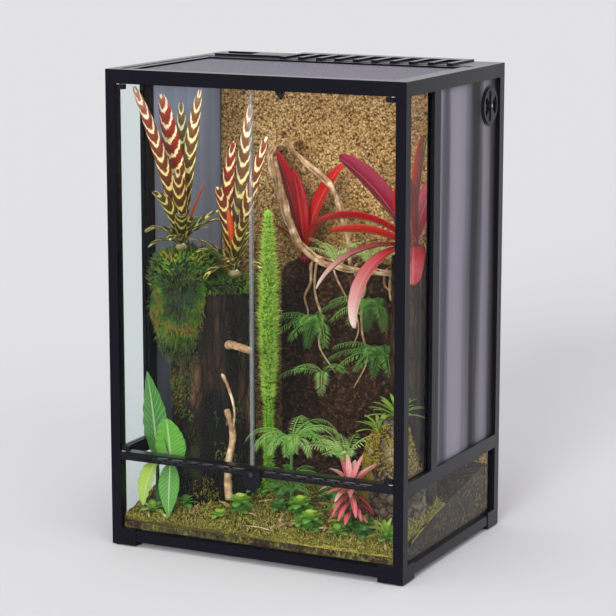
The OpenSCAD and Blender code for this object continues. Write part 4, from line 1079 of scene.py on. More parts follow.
def carpet():
    """A bed of moss: soil height plus random cushions, narrower between the front posts."""
    y = np.linspace(MOSS_FRONT, MOSS_BACK, 80)[:, None]
    s = np.linspace(-1, 1, 220)[None, :]
    x = s * np.where(y < -203, NARROW, WIDE)
    u, v = (s + 1) / 2.02, (y + 214) / 206
    top = soil_z(y) + 5 + 3.2 * drift(u, v, 24, 9, 51) + 1.5 * drift(u, v, 80, 30, 52)
    face = spread(x, y, top)
    low = [[-NARROW, MOSS_FRONT, 46], [NARROW, MOSS_FRONT, 46], [WIDE, MOSS_BACK, 94],
           [-WIDE, MOSS_BACK, 94]]
    return closed_face(face, low), face


bed, bed_net = carpet()
print("the bed rises to", bed_net[..., 2].max().round(1), "mm")

# %% [markdown]
# The bed alone would look like a rug. So fifteen thousand sprigs stand on it, each leaning its
# own way, and a fringe of short ones hangs at its front edge, behind the glass. A few would
# reach through the panes, and their points are moved back inside.

# %% Sprigs and fringe
SPRIGS, FRINGE = 15000, 3600


def held(part, side, front):
    """The part with its points held inside the case: between its sides, its front and 0."""
    np.clip(part[0][:, 0], -side, side, out=part[0][:, 0])
    np.clip(part[0][:, 1], front, 0, out=part[0][:, 1])
    return part


rng = np.random.default_rng(7)
row, col = rng.integers(0, 80, SPRIGS), rng.integers(0, 220, SPRIGS)
foot = bed_net[row, col] + np.c_[rng.uniform(-1.2, 1.2, (SPRIGS, 2)), np.full(SPRIGS, -0.6)]
foot[:, 0] = np.clip(foot[:, 0], -276, 276)
foot[:, 1] = np.maximum(foot[:, 1], -209)
lean = np.c_[rng.normal(0, 0.8, (SPRIGS, 2)), np.full(SPRIGS, 1.0)]
flat = rng.normal(size=(SPRIGS, 3))
sprigs = held(slivers(foot, lean, flat, rng.uniform(5.0, 13.0, SPRIGS), 2.5), WIDE, MOSS_FRONT)
edge_x = rng.uniform(-276, 276, FRINGE)
edge = np.c_[edge_x, np.full(FRINGE, -212.0), rng.uniform(47.5, 55.0, FRINGE)]
lean = rng.normal(size=(FRINGE, 3)) * [1, 0.15, 0.8]
flat = rng.normal(size=(FRINGE, 3))
fringe = held(slivers(edge, lean, flat, rng.uniform(3.0, 6.5, FRINGE), 1.8), 279, -213.5)
sprigs = mixed(sprigs, SPRIGS, rng, (0.2, 0.45, 0.6, 0.8, 0.95))
fringe = mixed(fringe, FRINGE, rng, (0.05, 0.2, 0.45, 0.7))
put("moss_bed", [(*bed[:3], 0.25), *sprigs, *fringe], tuft, "moss", "moss_carpet")

# %% [markdown]
# Needles and moss that grow on a column all set out from its skin. They could be combed as
# hair, but slivers do as well: each leaves along the outward normal and leans down, and a
# random field keeps bare places bare. The club moss and the lichen use the same coat.

# %% A coat of slivers
def coated(grid, count, length, width, droop, rng, kinds, out=1.0, low=0.0, high=1.0, patchy=None,
           swell=None):
    """Slivers over a column's skin: each sets out along the outward normal and leans down by
    droop. low and high pick the rows that are covered, patchy keeps only what lies where a
    random field is above that value, and swell gives the share of the length by height."""
    rows, cols = grid.shape[:2]
    r = (rng.uniform(low, high, count) * (rows - 2)).astype(int) + 1
    c = rng.integers(0, cols, count)
    if patchy is not None:
        field = drift(c / cols, r / rows, 14, 9, 93) + 0.5 * drift(c / cols, r / rows, 40, 24, 94)
        r, c = r[field > patchy], c[field > patchy]
        count = len(r)
    p = grid[r, c]
    level = grid[r, (c + 1) % cols] - grid[r, c - 1]
    rise = grid[np.minimum(r + 1, rows - 1), c] - grid[r - 1, c]
    normal = unit(np.cross(level, rise))
    way = out * normal + rng.normal(0, 0.45, (count, 3)) - [0, 0, droop]
    flat = normal + rng.normal(0, 0.4, (count, 3))
    if swell:
        length = length * np.interp(r / rows, *swell)
    part = slivers(p - 0.8 * normal, way, flat, rng.uniform(0.6, 1.3, count) * length, width)
    return mixed(part, count, rng, kinds)


print("coat helper ready")

# %% [markdown]
# Moss hangs down the trunk like a beard, with longer tufts on top and thin films of it lower on
# the bark. One even coat would look like felt. So five coats lie over each other, each with its
# own mix of length, droop and colours, and the last one leaves most of the bark bare.

# %% Moss on the trunk
cushion, cushion_map = column((-200, -104), 350, 540, 66, 70, 5, 0.05, 0.6, 0.5, 0.68, rough=9,
                              seed=61, cells=(10, 8), dome=0.05, around=110, levels=80)
# Each row: skin, count, length, width, droop, kinds, outward pull, lowest and highest share of
# the rows, and the level of the field that keeps bare places bare.
COATS = (
    (cushion, 4200, 12, 3.2, 0.9, (0.1, 0.3, 0.45, 0.62), 0.8, 0.0, 1.0, None),
    (cushion, 1900, 18, 3.0, 2.2, (0.6, 0.86, 0.93, 0.97), 0.6, 0.0, 0.8, None),
    (trunk_skin, 1600, 11, 2.6, 0.2, (0.3, 0.5, 0.62, 0.7), 0.9, 0.93, 1.0, None),
    (cushion, 900, 18, 6.0, -0.4, (0.45, 0.62, 0.7), 1.0, 0.7, 1.0, None),
    (trunk_skin, 9000, 8, 2.4, 0.9, (0.1, 0.3, 0.5, 0.7, 0.86), 0.7, 0.05, 0.95, 0.42))
beard = [solid(cushion, cushion_map, 0.1)]
for skin, count, length, width, droop, *rest in COATS:
    beard += coated(skin, count, length, width, droop, rng, *rest)
put("trunk_moss_cushion", beard, hanging, "moss", "trunk_moss")

# %% [markdown]
# Vines, roots, stalks and twigs are all tubes along a smooth curve through a few chosen points.
# A curve object with a round bevel would make a plain hose. A tube of our own can thin out, be
# bumpy, and wind round the curve as a strand does.

# %% Paths and tubes
def smooth_path(points, n):
    """A smooth curve through the points, from the cubic that Catmull and Rom described."""
    p = np.asarray(points, float)
    p = np.vstack([2 * p[0] - p[1], p, 2 * p[-1] - p[-2]])
    s = np.linspace(0, len(p) - 3 - 1e-6, n)
    i, f = s.astype(int), (s - s.astype(int))[:, None]
    a, b, c, d = p[i], p[i + 1], p[i + 2], p[i + 3]
    second, third = 2 * a - 5 * b + 4 * c - d, 3 * b - a - 3 * c + d
    return 0.5 * (2 * b + (c - a) * f + second * f ** 2 + third * f ** 3)


def tube(path, r0, r1, k=10, bumps=0.0, seed=3, wind=0.0, turns=0.0, kind=0.0):
    """Rings of radius from r0 to r1 across a path; wind sets the tube off to the side by that
    much, going round the path so many turns."""
    d = unit(np.gradient(path, axis=0))
    u = unit(np.cross(d, [0, 1, 0.2]))
    v = np.cross(d, u)
    s = np.linspace(0, 1, len(path))[:, None]
    round_by = 2 * np.pi * turns * s
    centre = path + wind * (np.cos(round_by) * u + np.sin(round_by) * v)
    a = np.linspace(0, 2 * np.pi, k, endpoint=False)[None, :]
    r = (r0 + (r1 - r0) * s) * (1 + bumps * crags(a / 2 / np.pi, s, 4, 30, seed))
    spoke = np.cos(a)[..., None] * u[:, None] + np.sin(a)[..., None] * v[:, None]
    where = spread(s, a / 2 / np.pi).reshape(-1, 2)
    return solid(centre[:, None] + r[..., None] * spoke, where, kind)


print("a path through two points:", smooth_path([(0, 0, 0), (0, 0, 9)], 4)[:, 2].round(1))

# %% [markdown]
# Two woody vines cross from the back wall to the stump. Each is a thick tube with thinner ones
# wound round it, as vines twist together. The points are measured from the bank's corner and
# from the stump's crown, because those carry the vines.

# %% Vines
BANK_CORNER, STUMP_CROWN = np.array([-112.0, 186.4, 500.0]), np.array([226.0, -16.0, 560.0])
FROM_BANK = [[-38, 0, 216], [-38, -22, 216], [-33, -62, 209], [-14, -90, 190], [10, -102, 150],
             [28, -106, 100], [54, -108, 48], [92, -112, 20], [142, -116, 12]]
TO_STUMP = [[-136, 76, -52], [-76, 52, -48], [-40, 26, -40], [-30, 19, -37]]
DOWN_BANK = [[0, 0, 228], [0, -22, 228], [12, -58, 222], [46, -74, 204], [92, -82, 176],
             [120, -82, 140], [132, -80, 96], [140, -72, 56], [142, -67, 24], [142, -67, 0]]
long_vine = smooth_path([*(BANK_CORNER + FROM_BANK), *(STUMP_CROWN + TO_STUMP)], 150)
short_vine = smooth_path(BANK_CORNER + DOWN_BANK, 110)
# Each row: path, first and last radius, corners, bumps, seed, distance off the path, turns.
STRANDS = ((long_vine, 6, 3.6, 10, 0.3, 71), (short_vine, 4.6, 3.4, 10, 0.3, 72),
           (long_vine, 2.2, 1.6, 7, 0.0, 3, 7, 5), (short_vine, 1.8, 1.4, 7, 0.0, 3, 5.2, 4),
           (long_vine, 1.6, 1.2, 7, 0.0, 3, -6, 3), (long_vine[:95], 3.6, 2.0, 8, 0.3, 73, 8.5, 2.2),
           (long_vine[:110], 2.8, 1.6, 8, 0.3, 74, -8.5, 1.7),
           (short_vine[:80], 2.8, 1.6, 8, 0.3, 75, -6.5, 1.6))
put("woody_vines", [tube(*strand) for strand in STRANDS], dry_wood, "vine", "vine_roots")

# %% [markdown]
# Every leaf and every frond sets out from its crown in one direction and at one angle, and
# droops steadily along its length. It could follow a free curve, but then each needs points of
# its own. Part of a circle needs four numbers: heading, rise, droop and length.

# %% A stalk's arc
def arc(at, shape, t):
    """The middle line at shares t of its length: an arc whose angle above level falls from rise
    to rise - droop. Gives its points, the directions along and above it, and the level one
    across it."""
    heading, rise, droop, length = shape[:4]
    r = np.radians
    e = r(rise - droop * t)
    radius = length * 180 / (math.pi * droop)
    ahead = np.array([math.cos(r(heading)), math.sin(r(heading)), 0])
    level = np.array([-math.sin(r(heading)), math.cos(r(heading)), 0])
    up = np.array([0, 0, 1])
    out_by, up_by = radius * (math.sin(r(rise)) - np.sin(e)), radius * (np.cos(e) - math.cos(r(rise)))
    line = np.asarray(at) + out_by * ahead + up_by * up
    return line, np.cos(e) * ahead + np.sin(e) * up, -np.sin(e) * ahead + np.cos(e) * up, level


print("tip of an arc:", arc((0, 0, 0), (0, 60, 40, 100), 1.0)[0].round(1))

# %% [markdown]
# A flat plane bent by a modifier would have no thickness. So a leaf is a flat ring carried along
# its arc, wide in the middle and bent up at both edges. Two more numbers complete it: its width
# and its turn about its own length. A bud is a small column that closes the foot of a plant.

# %% One leaf
THINNEST = 0.35


def leaf(at, shape, peak=0.5, thick=2.0, fold=0.25, clasp=0.0, ripple=0.0, kind=0.0, n=30, k=14,
         full=0.6):
    """n rings of k points along an arc. Half width: w / 2 times sin(180 t^p)^full, with p set so
    that it is widest at peak; a low full makes the tip blunt, and clasp keeps the foot wide.
    The edges bend up by fold and ripple."""
    wide, turn = shape[4:]
    t = np.linspace(0, 0.99, n)[:, None]
    mid, _, above, level = arc(at, shape, t)
    turn = np.radians(turn)
    side = math.cos(turn) * level + math.sin(turn) * above
    up = math.cos(turn) * above - math.sin(turn) * level
    p = math.log(0.5) / math.log(peak)
    half = wide / 2 * np.sin(math.pi * t ** p) ** full
    half = np.maximum(half, wide / 2 * clasp * np.maximum(1 - t / 0.35, 0) ** 0.5)
    half = np.maximum(half, THINNEST)
    a = np.linspace(0, 2 * math.pi, k, endpoint=False)[None, :]
    across, through = np.cos(a), np.sin(a)
    waves = ripple * half * np.sin(40 * t + shape[0]) * across ** 3
    bend_up = fold * half * np.abs(across) ** 1.5 + waves
    lift = bend_up + thick / 2 * (1 - 0.6 * t) * through * np.minimum(1, half / 2)
    grid = mid[:, None] + (half * across)[..., None] * side[:, None] + lift[..., None] * up[:, None]
    return solid(grid, spread(t, (across + 1) / 2).reshape(-1, 2), kind)


def bud(at, r, kind=0.0):
    """The round foot of a plant."""
    x, y, z = at
    grid, where = column((x, y), z - r, z + 0.3 * r, r, r, 5, 0.06, 0.5, 0.6, 0.8, around=20,
                         levels=10, dome=0.3)
    return solid(grid, where, kind)


print("a leaf has", len(leaf((0, 0, 0), (0, 60, 40, 100, 20, 0))[0]), "points")

# %% [markdown]
# Two striped bromeliads stand on the trunk, one on the moss beard and one beside it. Their long
# leaves stand nearly upright with blunt tips, and short dull ones spread at the foot. Leaves
# strewn at random would never look like these two plants, so each leaf has its own row.

# %% Striped bromeliads
FIRST = [((-120, 80, 16, 322, 24, 60), 0.2), ((180, 86, 9, 288, 42, 88), 0.0),
         ((93, 82, 17, 300, 26, 10), 0.7), ((119, 80, 20, 280, 26, 20), 1.0),
         ((-160, 60, 60, 66, 24, 0), 0.8), ((-60, 62, 60, 150, 26, 0), 0.9),
         ((-15, 60, 60, 84, 22, 0), 0.5), ((60, 55, 50, 130, 22, 0), 1.0),
         ((-100, 60, 80, 120, 24, 0), 0.8), ((-75, 50, 70, 96, 24, 0), 1.0),
         ((-40, 66, 60, 118, 24, 0), 0.8), ((20, 62, 60, 100, 24, 0), 0.9),
         ((-95, 76, 50, 150, 26, 20), 0.6), ((-130, 40, 80, 72, 22, 0), 1.0),
         ((-65, 78, 30, 176, 26, 10), 0.35)]
SECOND = [((180, 73, -34, 250, 30, 80), 0.0), ((86, 84, 10, 316, 26, 30), 0.6),
          ((62, 82, 10, 200, 22, 30), 0.9), ((40, 80, 8, 262, 24, 50), 0.3),
          ((-100, 60, 70, 130, 24, 0), 0.9), ((-30, 50, 80, 104, 20, 0), 0.8),
          ((100, 60, 50, 120, 22, 0), 1.0), ((-70, 56, 70, 96, 24, 0), 0.7),
          ((-130, 66, 60, 120, 24, 0), 0.5), ((-85, 78, 26, 190, 30, 0), 0.1),
          ((-45, 74, 40, 150, 26, 10), 0.4), ((-110, 40, 90, 84, 22, 0), 1.0)]
UPRIGHT = [((-210, -108, 560), FIRST), ((-112, -82, 514), SECOND)]


def paced(part, length):
    """The same leaf with its map drawn out to its length over 333 mm, so that the bands keep one
    pace on long and short leaves and the short ones keep the dull colours of a foot."""
    points, faces, where, kind = part
    return (points, faces, where * [0.1 + length / 333, 1], kind)


striped = [paced(leaf(at, shape, 0.5, 2.6, 0.28, 0.7, 0.03, kind, full=0.42), shape[3])
           for at, leaves in UPRIGHT for shape, kind in leaves]
striped += [bud(at, 11, 1.0) for at, _ in UPRIGHT]
put("striped_bromeliad_leaves", striped, banded, "striped_leaf", "striped_bromeliads")

# %% [markdown]
# The red bromeliad sits on the stump and arches its glossy leaves forward and to the left, two
# of them with pale tips. A smaller one on the bark bank holds its leaves up in a V, and two
# orange spikes stand in the striped plants. One leaf surface makes all of them: only the rows
# differ.

# %% Red bromeliads
ARCHING = [((174, 60, 32, 228, 46, 62), 0.05), ((-166, 48, 72, 200, 26, 34), 0.35),
           ((-157, 30, 40, 160, 26, 34), 0.6), ((-146, 15, 75, 208, 30, 0), 1.2),
           ((-116, 10, 110, 224, 30, 0), 1.3), ((-52, 80, 14, 226, 24, 40), 0.8),
           ((-78, 70, 34, 176, 42, 50), 0.65), ((-66, 24, 96, 140, 34, 0), 0.3),
           ((-24, 84, 8, 222, 18, 40), 0.97), ((122, 55, 50, 180, 30, 0), 0.1),
           ((82, 68, 30, 170, 30, 0), 0.15)]
VEE = [((180, 78, 10, 214, 34, 70), 0.4), ((0, 84, 36, 208, 30, 60), 0.55),
       ((-90, 82, 16, 186, 26, 0), 0.35), ((-40, 70, 50, 120, 22, 0), 0.5),
       ((-140, 66, 50, 110, 22, 0), 0.45)]
SPIKES = [((-206, -112, 566), (-30, 62, 14, 150, 11, 30)), ((-108, -84, 520), (-80, 74, 10, 128, 13, 20))]


def crown(at, leaves, wider, full):
    """Red leaves from one crown, each with its width times wider."""
    return [leaf(at, (*s[:4], s[4] * wider, s[5]), 0.55, 2.6, 0.3, 0.6, 0.02, kind, full=full)
            for s, kind in leaves]


put("red_bromeliad_leaves", [*crown((222, -16, 574), ARCHING, 1.3, 0.45), bud((222, -16, 572), 10, 0.05)],
    red_leaf, "red_leaf", "red_bromeliad")
put("vee_bromeliad_leaves", [*crown((-70, 128.4, 514), VEE, 1.2, 0.6), bud((-70, 128.4, 511), 9, 0.05)],
    red_leaf, "red_leaf", "vee_bromeliad")
put("orange_spikes", [leaf(at, s, 0.6, 3.0, 0.2, 0.6, 0.0, 0.85, full=0.4) for at, s in SPIKES],
    red_leaf, "red_leaf")

# %% [markdown]
# The pink star bromeliad stands in front of the rocks: a round head of short pointed leaves over
# a skirt of flatter ones. Placing them by eye would leave gaps. Each new leaf turns on by the
# golden angle instead, as in a living plant, so that no two lie over each other.

# %% Star bromeliad
GOLDEN = 137.5
star = on_soil(164, -156, 78)
star_leaves = []
for i in range(17):
    turn = GOLDEN * i
    behind = math.sin(math.radians(turn))
    shape = (turn, 44 + 28 * behind, 62 - 20 * (i % 3),
             56 + 12 * float(np.clip(behind + 0.7, 0, 1)), 12, 0)
    kind = 1.1 if i % 3 == 0 else 0.3 + 0.04 * i
    star_leaves.append(leaf(star, shape, 0.45, 1.8, 0.3, 0.7, 0.05, kind))
for down, rise, reach in ((8, -14, 58), (24, -8, 52), (42, 6, 46)):
    for i in range(6):
        shape = (60 * i + down, rise, 50, reach, 11, 0)
        star_leaves.append(leaf(star - [0, 0, down], shape, 0.45, 1.8, 0.3, 0.7, 0.05, 0.1 * i))
put("star_bromeliad_leaves", [*star_leaves, bud(star, 8, 0.2)], pink_leaf, "pink_leaf",
    "star_bromeliad")

# %% [markdown]
# Two soft plants with broad ribbed leaves stand at the left glass, and three small rosettes grow
# in the moss. The broad leaves are few, so each has a row, with its widest place and how blunt
# its tip is. The rosettes again follow the golden angle. All of them stand on short stems, so
# that nothing hangs in the air.

# %% Broad leaves and rosettes
def stem(at, lift, r, kind):
    """A short stem from the moss up to a crown."""
    top = np.asarray(at, float)
    return tube(np.linspace(top - [0, 0, lift + 8], top, 8), r * 1.15, r * 0.8, 10, kind=kind)


BROAD_STEM, SMALL_STEM = 92, 22
TALL = [((180, 86, 6, 168, 60, 84), 0.35, 0.36, 0.9), ((-125, -58, 26, 96, 58, 0), 0.9, 0.45, 0.7),
        ((-170, 20, 60, 40, 34, 0), 0.8, 0.5, 0.6)]
HEART = [((-80, 86, 18, 92, 62, 0), 0.6, 0.33, 0.6), ((-70, -62, 24, 104, 40, 0), 0.45, 0.4, 0.9),
         ((150, 76, 20, 90, 36, 40), 0.2, 0.45, 0.8)]
BROAD = [(on_soil(-238, -160, BROAD_STEM), TALL), (on_soil(-204, -170, BROAD_STEM), HEART)]
broad = [leaf(at, shape, peak, 1.8, 0.18, 0.1, 0.06, kind, 40, 18, full)
         for at, leaves in BROAD for shape, kind, peak, full in leaves]
broad += [stem(at, BROAD_STEM, 4, 0.3) for at, _ in BROAD]
put("broad_leaves", broad, green_leaf, "bright_leaf", "broad_leaf_plant")
small = [on_soil(x, y, SMALL_STEM) for x, y in ((92, -176), (-66, -152), (50, -132))]
rosettes = [leaf(at, (GOLDEN * i, 6 + 5 * i, 40, 28 - 0.6 * i, 19, 0), 0.55, 1.6, 0.2, 0.4, 0.08,
                 0.55 + 0.025 * i, 16, 10) for at in small for i in range(16)]
put("green_rosettes", rosettes + [stem(at, SMALL_STEM, 2.6, 0.4) for at in small], green_leaf,
    "bright_leaf", "rosette_plants")

# %% [markdown]
# A fern frond is a thin bent stalk with two rows of leaflets, long in the middle and short at
# both ends. A flat leaf with a cut-out pattern would be lighter, but a cut-out doesn't leave
# Blender as a mesh. So the stalk follows the same arc as a leaf, and its leaflets are slivers.

# %% One frond
LEAN, HANG = 0.6, 0.45   # how far leaflets point forward, and down
SLIM = 0.11              # a leaflet's width over its length


def frond(at, shape, pairs, kind, rng):
    """A stalk along the leaf's arc, with a pair of leaflets at each step: their length follows
    the leaf's half width, and they point forward and hang a little."""
    stalk, *_ = arc(at, shape, np.linspace(0, 0.98, 18)[:, None])
    t = np.linspace(0, 0.98, pairs)[:, None]
    base, along, _, level = arc(at, shape, t)
    over = np.cross(along, level)
    half = shape[4] / 2 * np.sin(math.pi * (0.08 + 0.86 * t[:, 0])) ** 0.6
    reach = np.maximum(half, 2.5) * 1.12
    parts = [tube(stalk, 1.0, 0.4, 6, kind=kind)]
    for s in (-1, 1):
        way = s * level + LEAN * along - [0, 0, HANG] + rng.normal(0, 0.1, (pairs, 3))
        width = np.maximum(reach * SLIM, 1.3)
        parts.append(slivers(base, way, over, reach, width, 0.12, 0.4, kind))
    return parts


def between(angles):
    """The angles and, between each two, one more for the younger fronds."""
    a = np.asarray(angles, float)
    return np.sort(np.concatenate([a, (a[1:] + a[:-1]) / 2 + 4]))


def sway(angle, times=1):
    """From -1 to 1 round the plant: the sine of some times the heading."""
    return math.sin(math.radians(times * angle))


print("fronds between five:", len(between(range(5))))

# %% [markdown]
# Two ferns stand on the ground, each with an arching crown and two skirts below it, and two
# sprays hang on the bark bank. One frond copied round would look stamped, so length and rise
# vary with the heading, and every second frond is a younger, shorter one.

# %% Ferns on the ground and the bank
ARCH_STEM, LIGHT_STEM = 112, 92
arch, light = on_soil(16, -102, ARCH_STEM), on_soil(122, -88, LIGHT_STEM)
ARCH_ANGLES = (-156, -122, -92, -58, -20, 24, 62, 100)
LIGHT_ANGLES = (-176, -138, -98, -60, 100, 150)
WALL_ANGLES = (-152, -128, -100, -74, -58)
SPRAYS = ((98, 430), (-24, 388))
ferns = []
for i, az in enumerate(between(ARCH_ANGLES)):
    shape = (az, 82 - 7 * (i % 2), 150, 126 + 20 * sway(az) - 18 * (i % 2), 34)
    ferns += frond(arch, shape, 30, 0.55 + 0.09 * (i % 4), rng)
for i, az in enumerate(between(LIGHT_ANGLES)):
    shape = (az, 60 + 18 * (i % 2), 76, 88 + 10 * sway(az, 5) - 10 * (i % 2), 38)
    ferns += frond(light, shape, 18, 0.75 + 0.05 * (i % 4), rng)
for x, z in SPRAYS:
    for i, az in enumerate(between(WALL_ANGLES)):
        shape = (az, 34 + 20 * (i % 2), 84, 118 + 22 * sway(az, 4) - 16 * (i % 2), 38)
        ferns += frond((x, 94, z), shape, 22, 0.3 + 0.14 * (i % 3), rng)
for foot, lift, reach in ((arch, 58, 64), (arch, 84, 60), (light, 50, 56), (light, 72, 52)):
    for az in range(-170, 190, 60):
        shape = (az + lift, 58, 96, reach, 26)
        ferns += frond(foot - [0, 0, lift], shape, 22, 0.4 + 0.1 * (az % 3), rng)
ferns += [stem(arch, ARCH_STEM, 2.6, 0.2), stem(light, LIGHT_STEM, 2.6, 0.2)]
ferns += [bud(arch, 6, 0.3), bud(light, 6, 0.3), *[bud((x, 98, z), 7, 0.2) for x, z in SPRAYS]]
print("fern parts so far:", len(ferns))

# %% [markdown]
# Short pale ferns stand along the bank's top, where most light falls, and two more sprays hang
# lower down. Those two could share the other ferns' random numbers, but then every later plant
# would change with them, so they have numbers of their own.

# %% Ferns above and below
LOWER = ((112, 338, between(WALL_ANGLES), 0.3), (-14, 292, (-138, -104, -66, -36), 0.62))
for i, az in enumerate(range(-170, 190, 40)):
    for x, y in ((6, 116), (78, 120), (142, 116)):
        shape = (az + 20 * (x > 9), 80 - 12 * (i % 2), 74, 84 if az < 0 else 64, 32)
        ferns += frond((x, y, BANK_TOP + 2), shape, 20, 0.86 + 0.03 * (i % 4), rng)
late = np.random.default_rng(23)
for x, z, angles, kind in LOWER:
    for i, az in enumerate(angles):
        shape = (az, 36 + 20 * (i % 2), 84, 112 + 16 * sway(az, 4), 38)
        ferns += frond((x, 94, z), shape, 22, kind + 0.12 * (i % 3), late)
    ferns.append(bud((x, 98, z), 7, 0.2))
put("ferns", ferns, fern_leaf, "fern_leaf", "fern_fronds")

# %% [markdown]
# The club moss is a tall soft column of bright needles on a thin foot. A fuzzy material on a
# smooth column would betray itself at the outline. So thousands of slivers are set on a slim
# core, long in the lower half and short towards the top, which makes it taper.

# %% Club moss
CLUB = (-58, -50)
CLUB_STEM = 191
SWELL = ((0.0, 0.25, 0.6, 0.78, 0.9, 1.0), (0.9, 1.3, 1.3, 0.9, 0.55, 0.35))
club = on_soil(*CLUB)
core, core_map = column(CLUB, club[2] + 172, club[2] + 521, 10, 10, 10, 0.1, 0.75, 0.5, 0.25, 2,
                        around=24, levels=40, dome=0.8)
foot_skin, _ = column(CLUB, club[2] - 4, club[2] + 181, 4, 4, 3, 0.0, around=12, levels=30)
needles = [solid(core, core_map, 0.05), stem(club + [0, 0, CLUB_STEM], CLUB_STEM, 4, 0.0)]
needles += coated(core, 5200, 11.5, 1.8, -0.7, rng, (0.2, 0.5, 0.8, 0.95), swell=SWELL)
needles += coated(core, 1400, 16, 1.9, -0.5, rng, (0.5, 0.8, 0.95), swell=SWELL)
needles += coated(foot_skin, 1500, 11.0, 1.8, -0.4, rng, (0.2, 0.5, 0.8))
put("club_moss_column", needles, fuzz, "bright_leaf", "club_moss")

# %% [markdown]
# Between the large plants the ground is never bare: small leafy clumps hide the feet of the
# stems, and stiff tufts stand on the rock. A scatter at random would put some into the trunk or
# the glass. So each clump has a place of its own, and only its leaves are worked out.

# %% Ground cover
def clump(at, count, length, wide, kind, rise=20.0, full=0.6):
    """Leaves set by the golden angle, the later ones steeper and shorter, on a short foot."""
    top = np.asarray(at, float)
    parts = []
    for i in range(count):
        shape = (GOLDEN * i + 10 * top[0], rise + 50 * i / count, 50,
                 length * (1 - 0.3 * i / count), wide, 0)
        parts.append(leaf(top + [0, 0, 0.35 * i], shape, 0.55, 1.3, 0.2, 0.3, 0.05,
                          kind + 0.2 * (i % 3) / 3, 14, 8, full))
    return parts


# Each row: place across and front to back, number of leaves, their length and width, kind.
CLUMPS = [(150, -178, 12, 26, 15, 0.6), (182, -140, 13, 30, 14, 0.45), (138, -140, 12, 28, 15, 0.7),
          (196, -172, 12, 24, 13, 0.3), (0, -124, 12, 30, 13, 0.35), (34, -112, 12, 26, 14, 0.55),
          (110, -112, 12, 28, 13, 0.6), (140, -96, 12, 32, 13, 0.3), (-74, -72, 12, 28, 14, 0.45),
          (-40, -66, 12, 26, 12, 0.6), (-232, -186, 12, 30, 14, 0.7), (-184, -150, 12, 28, 14, 0.5),
          (-96, -176, 11, 22, 13, 0.75), (64, -160, 12, 22, 13, 0.65), (250, -176, 12, 26, 14, 0.5),
          (92, -176, 12, 24, 14, 0.5), (-66, -152, 12, 24, 14, 0.55), (50, -132, 12, 24, 14, 0.45),
          (164, -158, 12, 30, 13, 0.35), (80, -70, 12, 34, 14, 0.2), (-10, -70, 12, 30, 13, 0.25),
          (160, -40, 12, 34, 14, 0.25)]
STIFF = [(224, -88, rock_foot + 204, 26, 64), (190, -92, rock_foot + 176, 16, 54), (240, -164, 70, 14, 46)]
cover = [stem(star, 78, 2.6, 0.2)]
for x, y, count, length, wide, kind in CLUMPS:
    cover += clump(on_soil(x, y, 3), count, length, wide, kind)
for x, y, z, count, length in STIFF:
    cover += clump((x, y, z), count, length, 7.5, 0.72, 30.0, 0.5)
put("ground_cover", cover, green_leaf, "bright_leaf")

# %% [markdown]
# Twigs lie about on the moss, and a pale forked branch leans at the trunk. All of it is tubes
# along smooth paths, as the vines are: a few are chosen, because they are seen, and the many
# small ones lie at random, each bent up a little in the middle.

# %% Fallen twigs
twigs = []
for i in range(34):
    x, y, turn = rng.uniform(-262, 262), rng.uniform(-200, -60), rng.uniform(0, math.pi)
    half = rng.uniform(12, 34) * np.array([math.cos(turn), math.sin(turn)])
    ends = np.array([[x, y] - half, [x, y], [x, y] + half])
    ends[:, 0] = np.clip(ends[:, 0], -270, 270)
    ends[:, 1] = np.clip(ends[:, 1], -206, -20)
    path = smooth_path(np.c_[ends, soil_z(ends[:, 1]) + MOSS + [0.5, 3.0, 0.5]], 10)
    twigs.append(tube(path, rng.uniform(1.2, 2.6), 0.8, 7, 0.3, i))
branch = smooth_path([(-92, -146, 92), (-98, -140, 150), (-90, -134, 215), (-104, -132, 262)], 24)
stub = smooth_path([(-104, -126, 384), (-88, -134, 386), (-66, -138, 383), (-48, -140, 380)], 16)
fork = smooth_path([(-116, -128, 330), (-96, -136, 300), (-84, -138, 262), (-86, -140, 230)], 20)
twigs += [tube(branch, 7, 5, 10, 0.35, 81), tube(stub, 8, 6, 10, 0.3, 82), tube(fork, 3, 1.5, 8, 0.4, 83)]
print("twigs:", len(twigs))

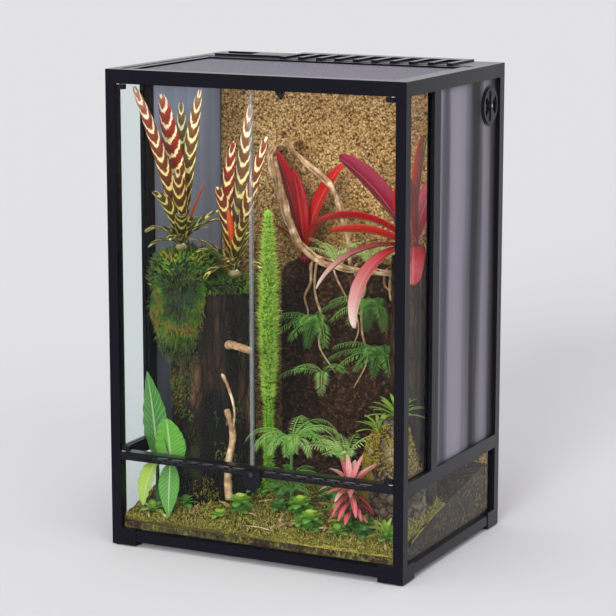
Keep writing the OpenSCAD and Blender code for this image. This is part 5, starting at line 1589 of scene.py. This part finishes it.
# %% [markdown]
# Thin roots grow over the bank's edge and hang down its face. Straight lines would look like
# strings, so each drifts to the side by four random steps on its way down. They join the twigs
# in one piece, because both are the same dry wood.

# %% Hanging roots
ROOTS = ((-40, 120), (-29, 205), (8, 90), (54, 230), (69, 150), (118, 100), (131, 190))
for i, (x, drop) in enumerate(ROOTS):
    a, b, c, d = rng.uniform(-22, 30, 4)
    fall = [(x - 14, 150, 504), (x - 6, 106, 502), (x + a / 3, 102, 500 - 0.25 * drop),
            (x + b, 103, 500 - 0.5 * drop), (x + b + c / 2, 103, 500 - 0.75 * drop),
            (x + b + d, 105, 500 - drop)]
    twigs.append(tube(smooth_path(fall, 40), 3.8 - 0.7 * (i % 3), 1.0, 8, 0.4, 90 + i))
put("fallen_wood", twigs, dry_wood, "vine")

# %% [markdown]
# Yellow lichen covers the upper half of the rocks. Colour alone would leave them smooth, so a
# coat of short slivers gives them a crust that catches the light.

# %% Rock lichen
patch = coated(rock_skin, 2000, 7, 2.8, -0.2, rng, (0.3, 0.6, 0.9), 0.8, 0.5, 0.9)
put("rock_lichen", patch, lichen, "moss")

# %% [markdown]
# The floor under the case is a stage piece: it takes the case's shadow and isn't part of the
# object. A curved backdrop would hide the far edge, but the sky is about as pale as the lit
# floor, so the four points of a wide flat floor are enough.

# %% Floor
FLOOR_HALF, FLOOR_Z = 60.0, -0.0005


def floor():
    """A wide flat floor just under the feet."""
    s, z = FLOOR_HALF, FLOOR_Z
    mesh = bpy.data.meshes.new("studio_floor")
    mesh.from_pydata([(-s, -s, z), (s, -s, z), (s, s, z), (-s, s, z)], [], [(0, 1, 2, 3)])
    m, tree, shader = start("studio_floor", Roughness=0.9, Specular_IOR_Level=0.1)
    paint(tree, shader, tone("dad9dc"))
    mesh.materials.append(m)
    placed("studio_floor", mesh)


floor()
print("floor:", 2 * FLOOR_HALF, "m wide")

# %% [markdown]
# Last comes the view. The finished model has to stay inside the box of the solids: what was
# grown inside the case must not reach out of it. The standard view leaves the colours as they
# were written.

# %% Finish
bpy.context.scene.view_settings.view_transform = "Standard"
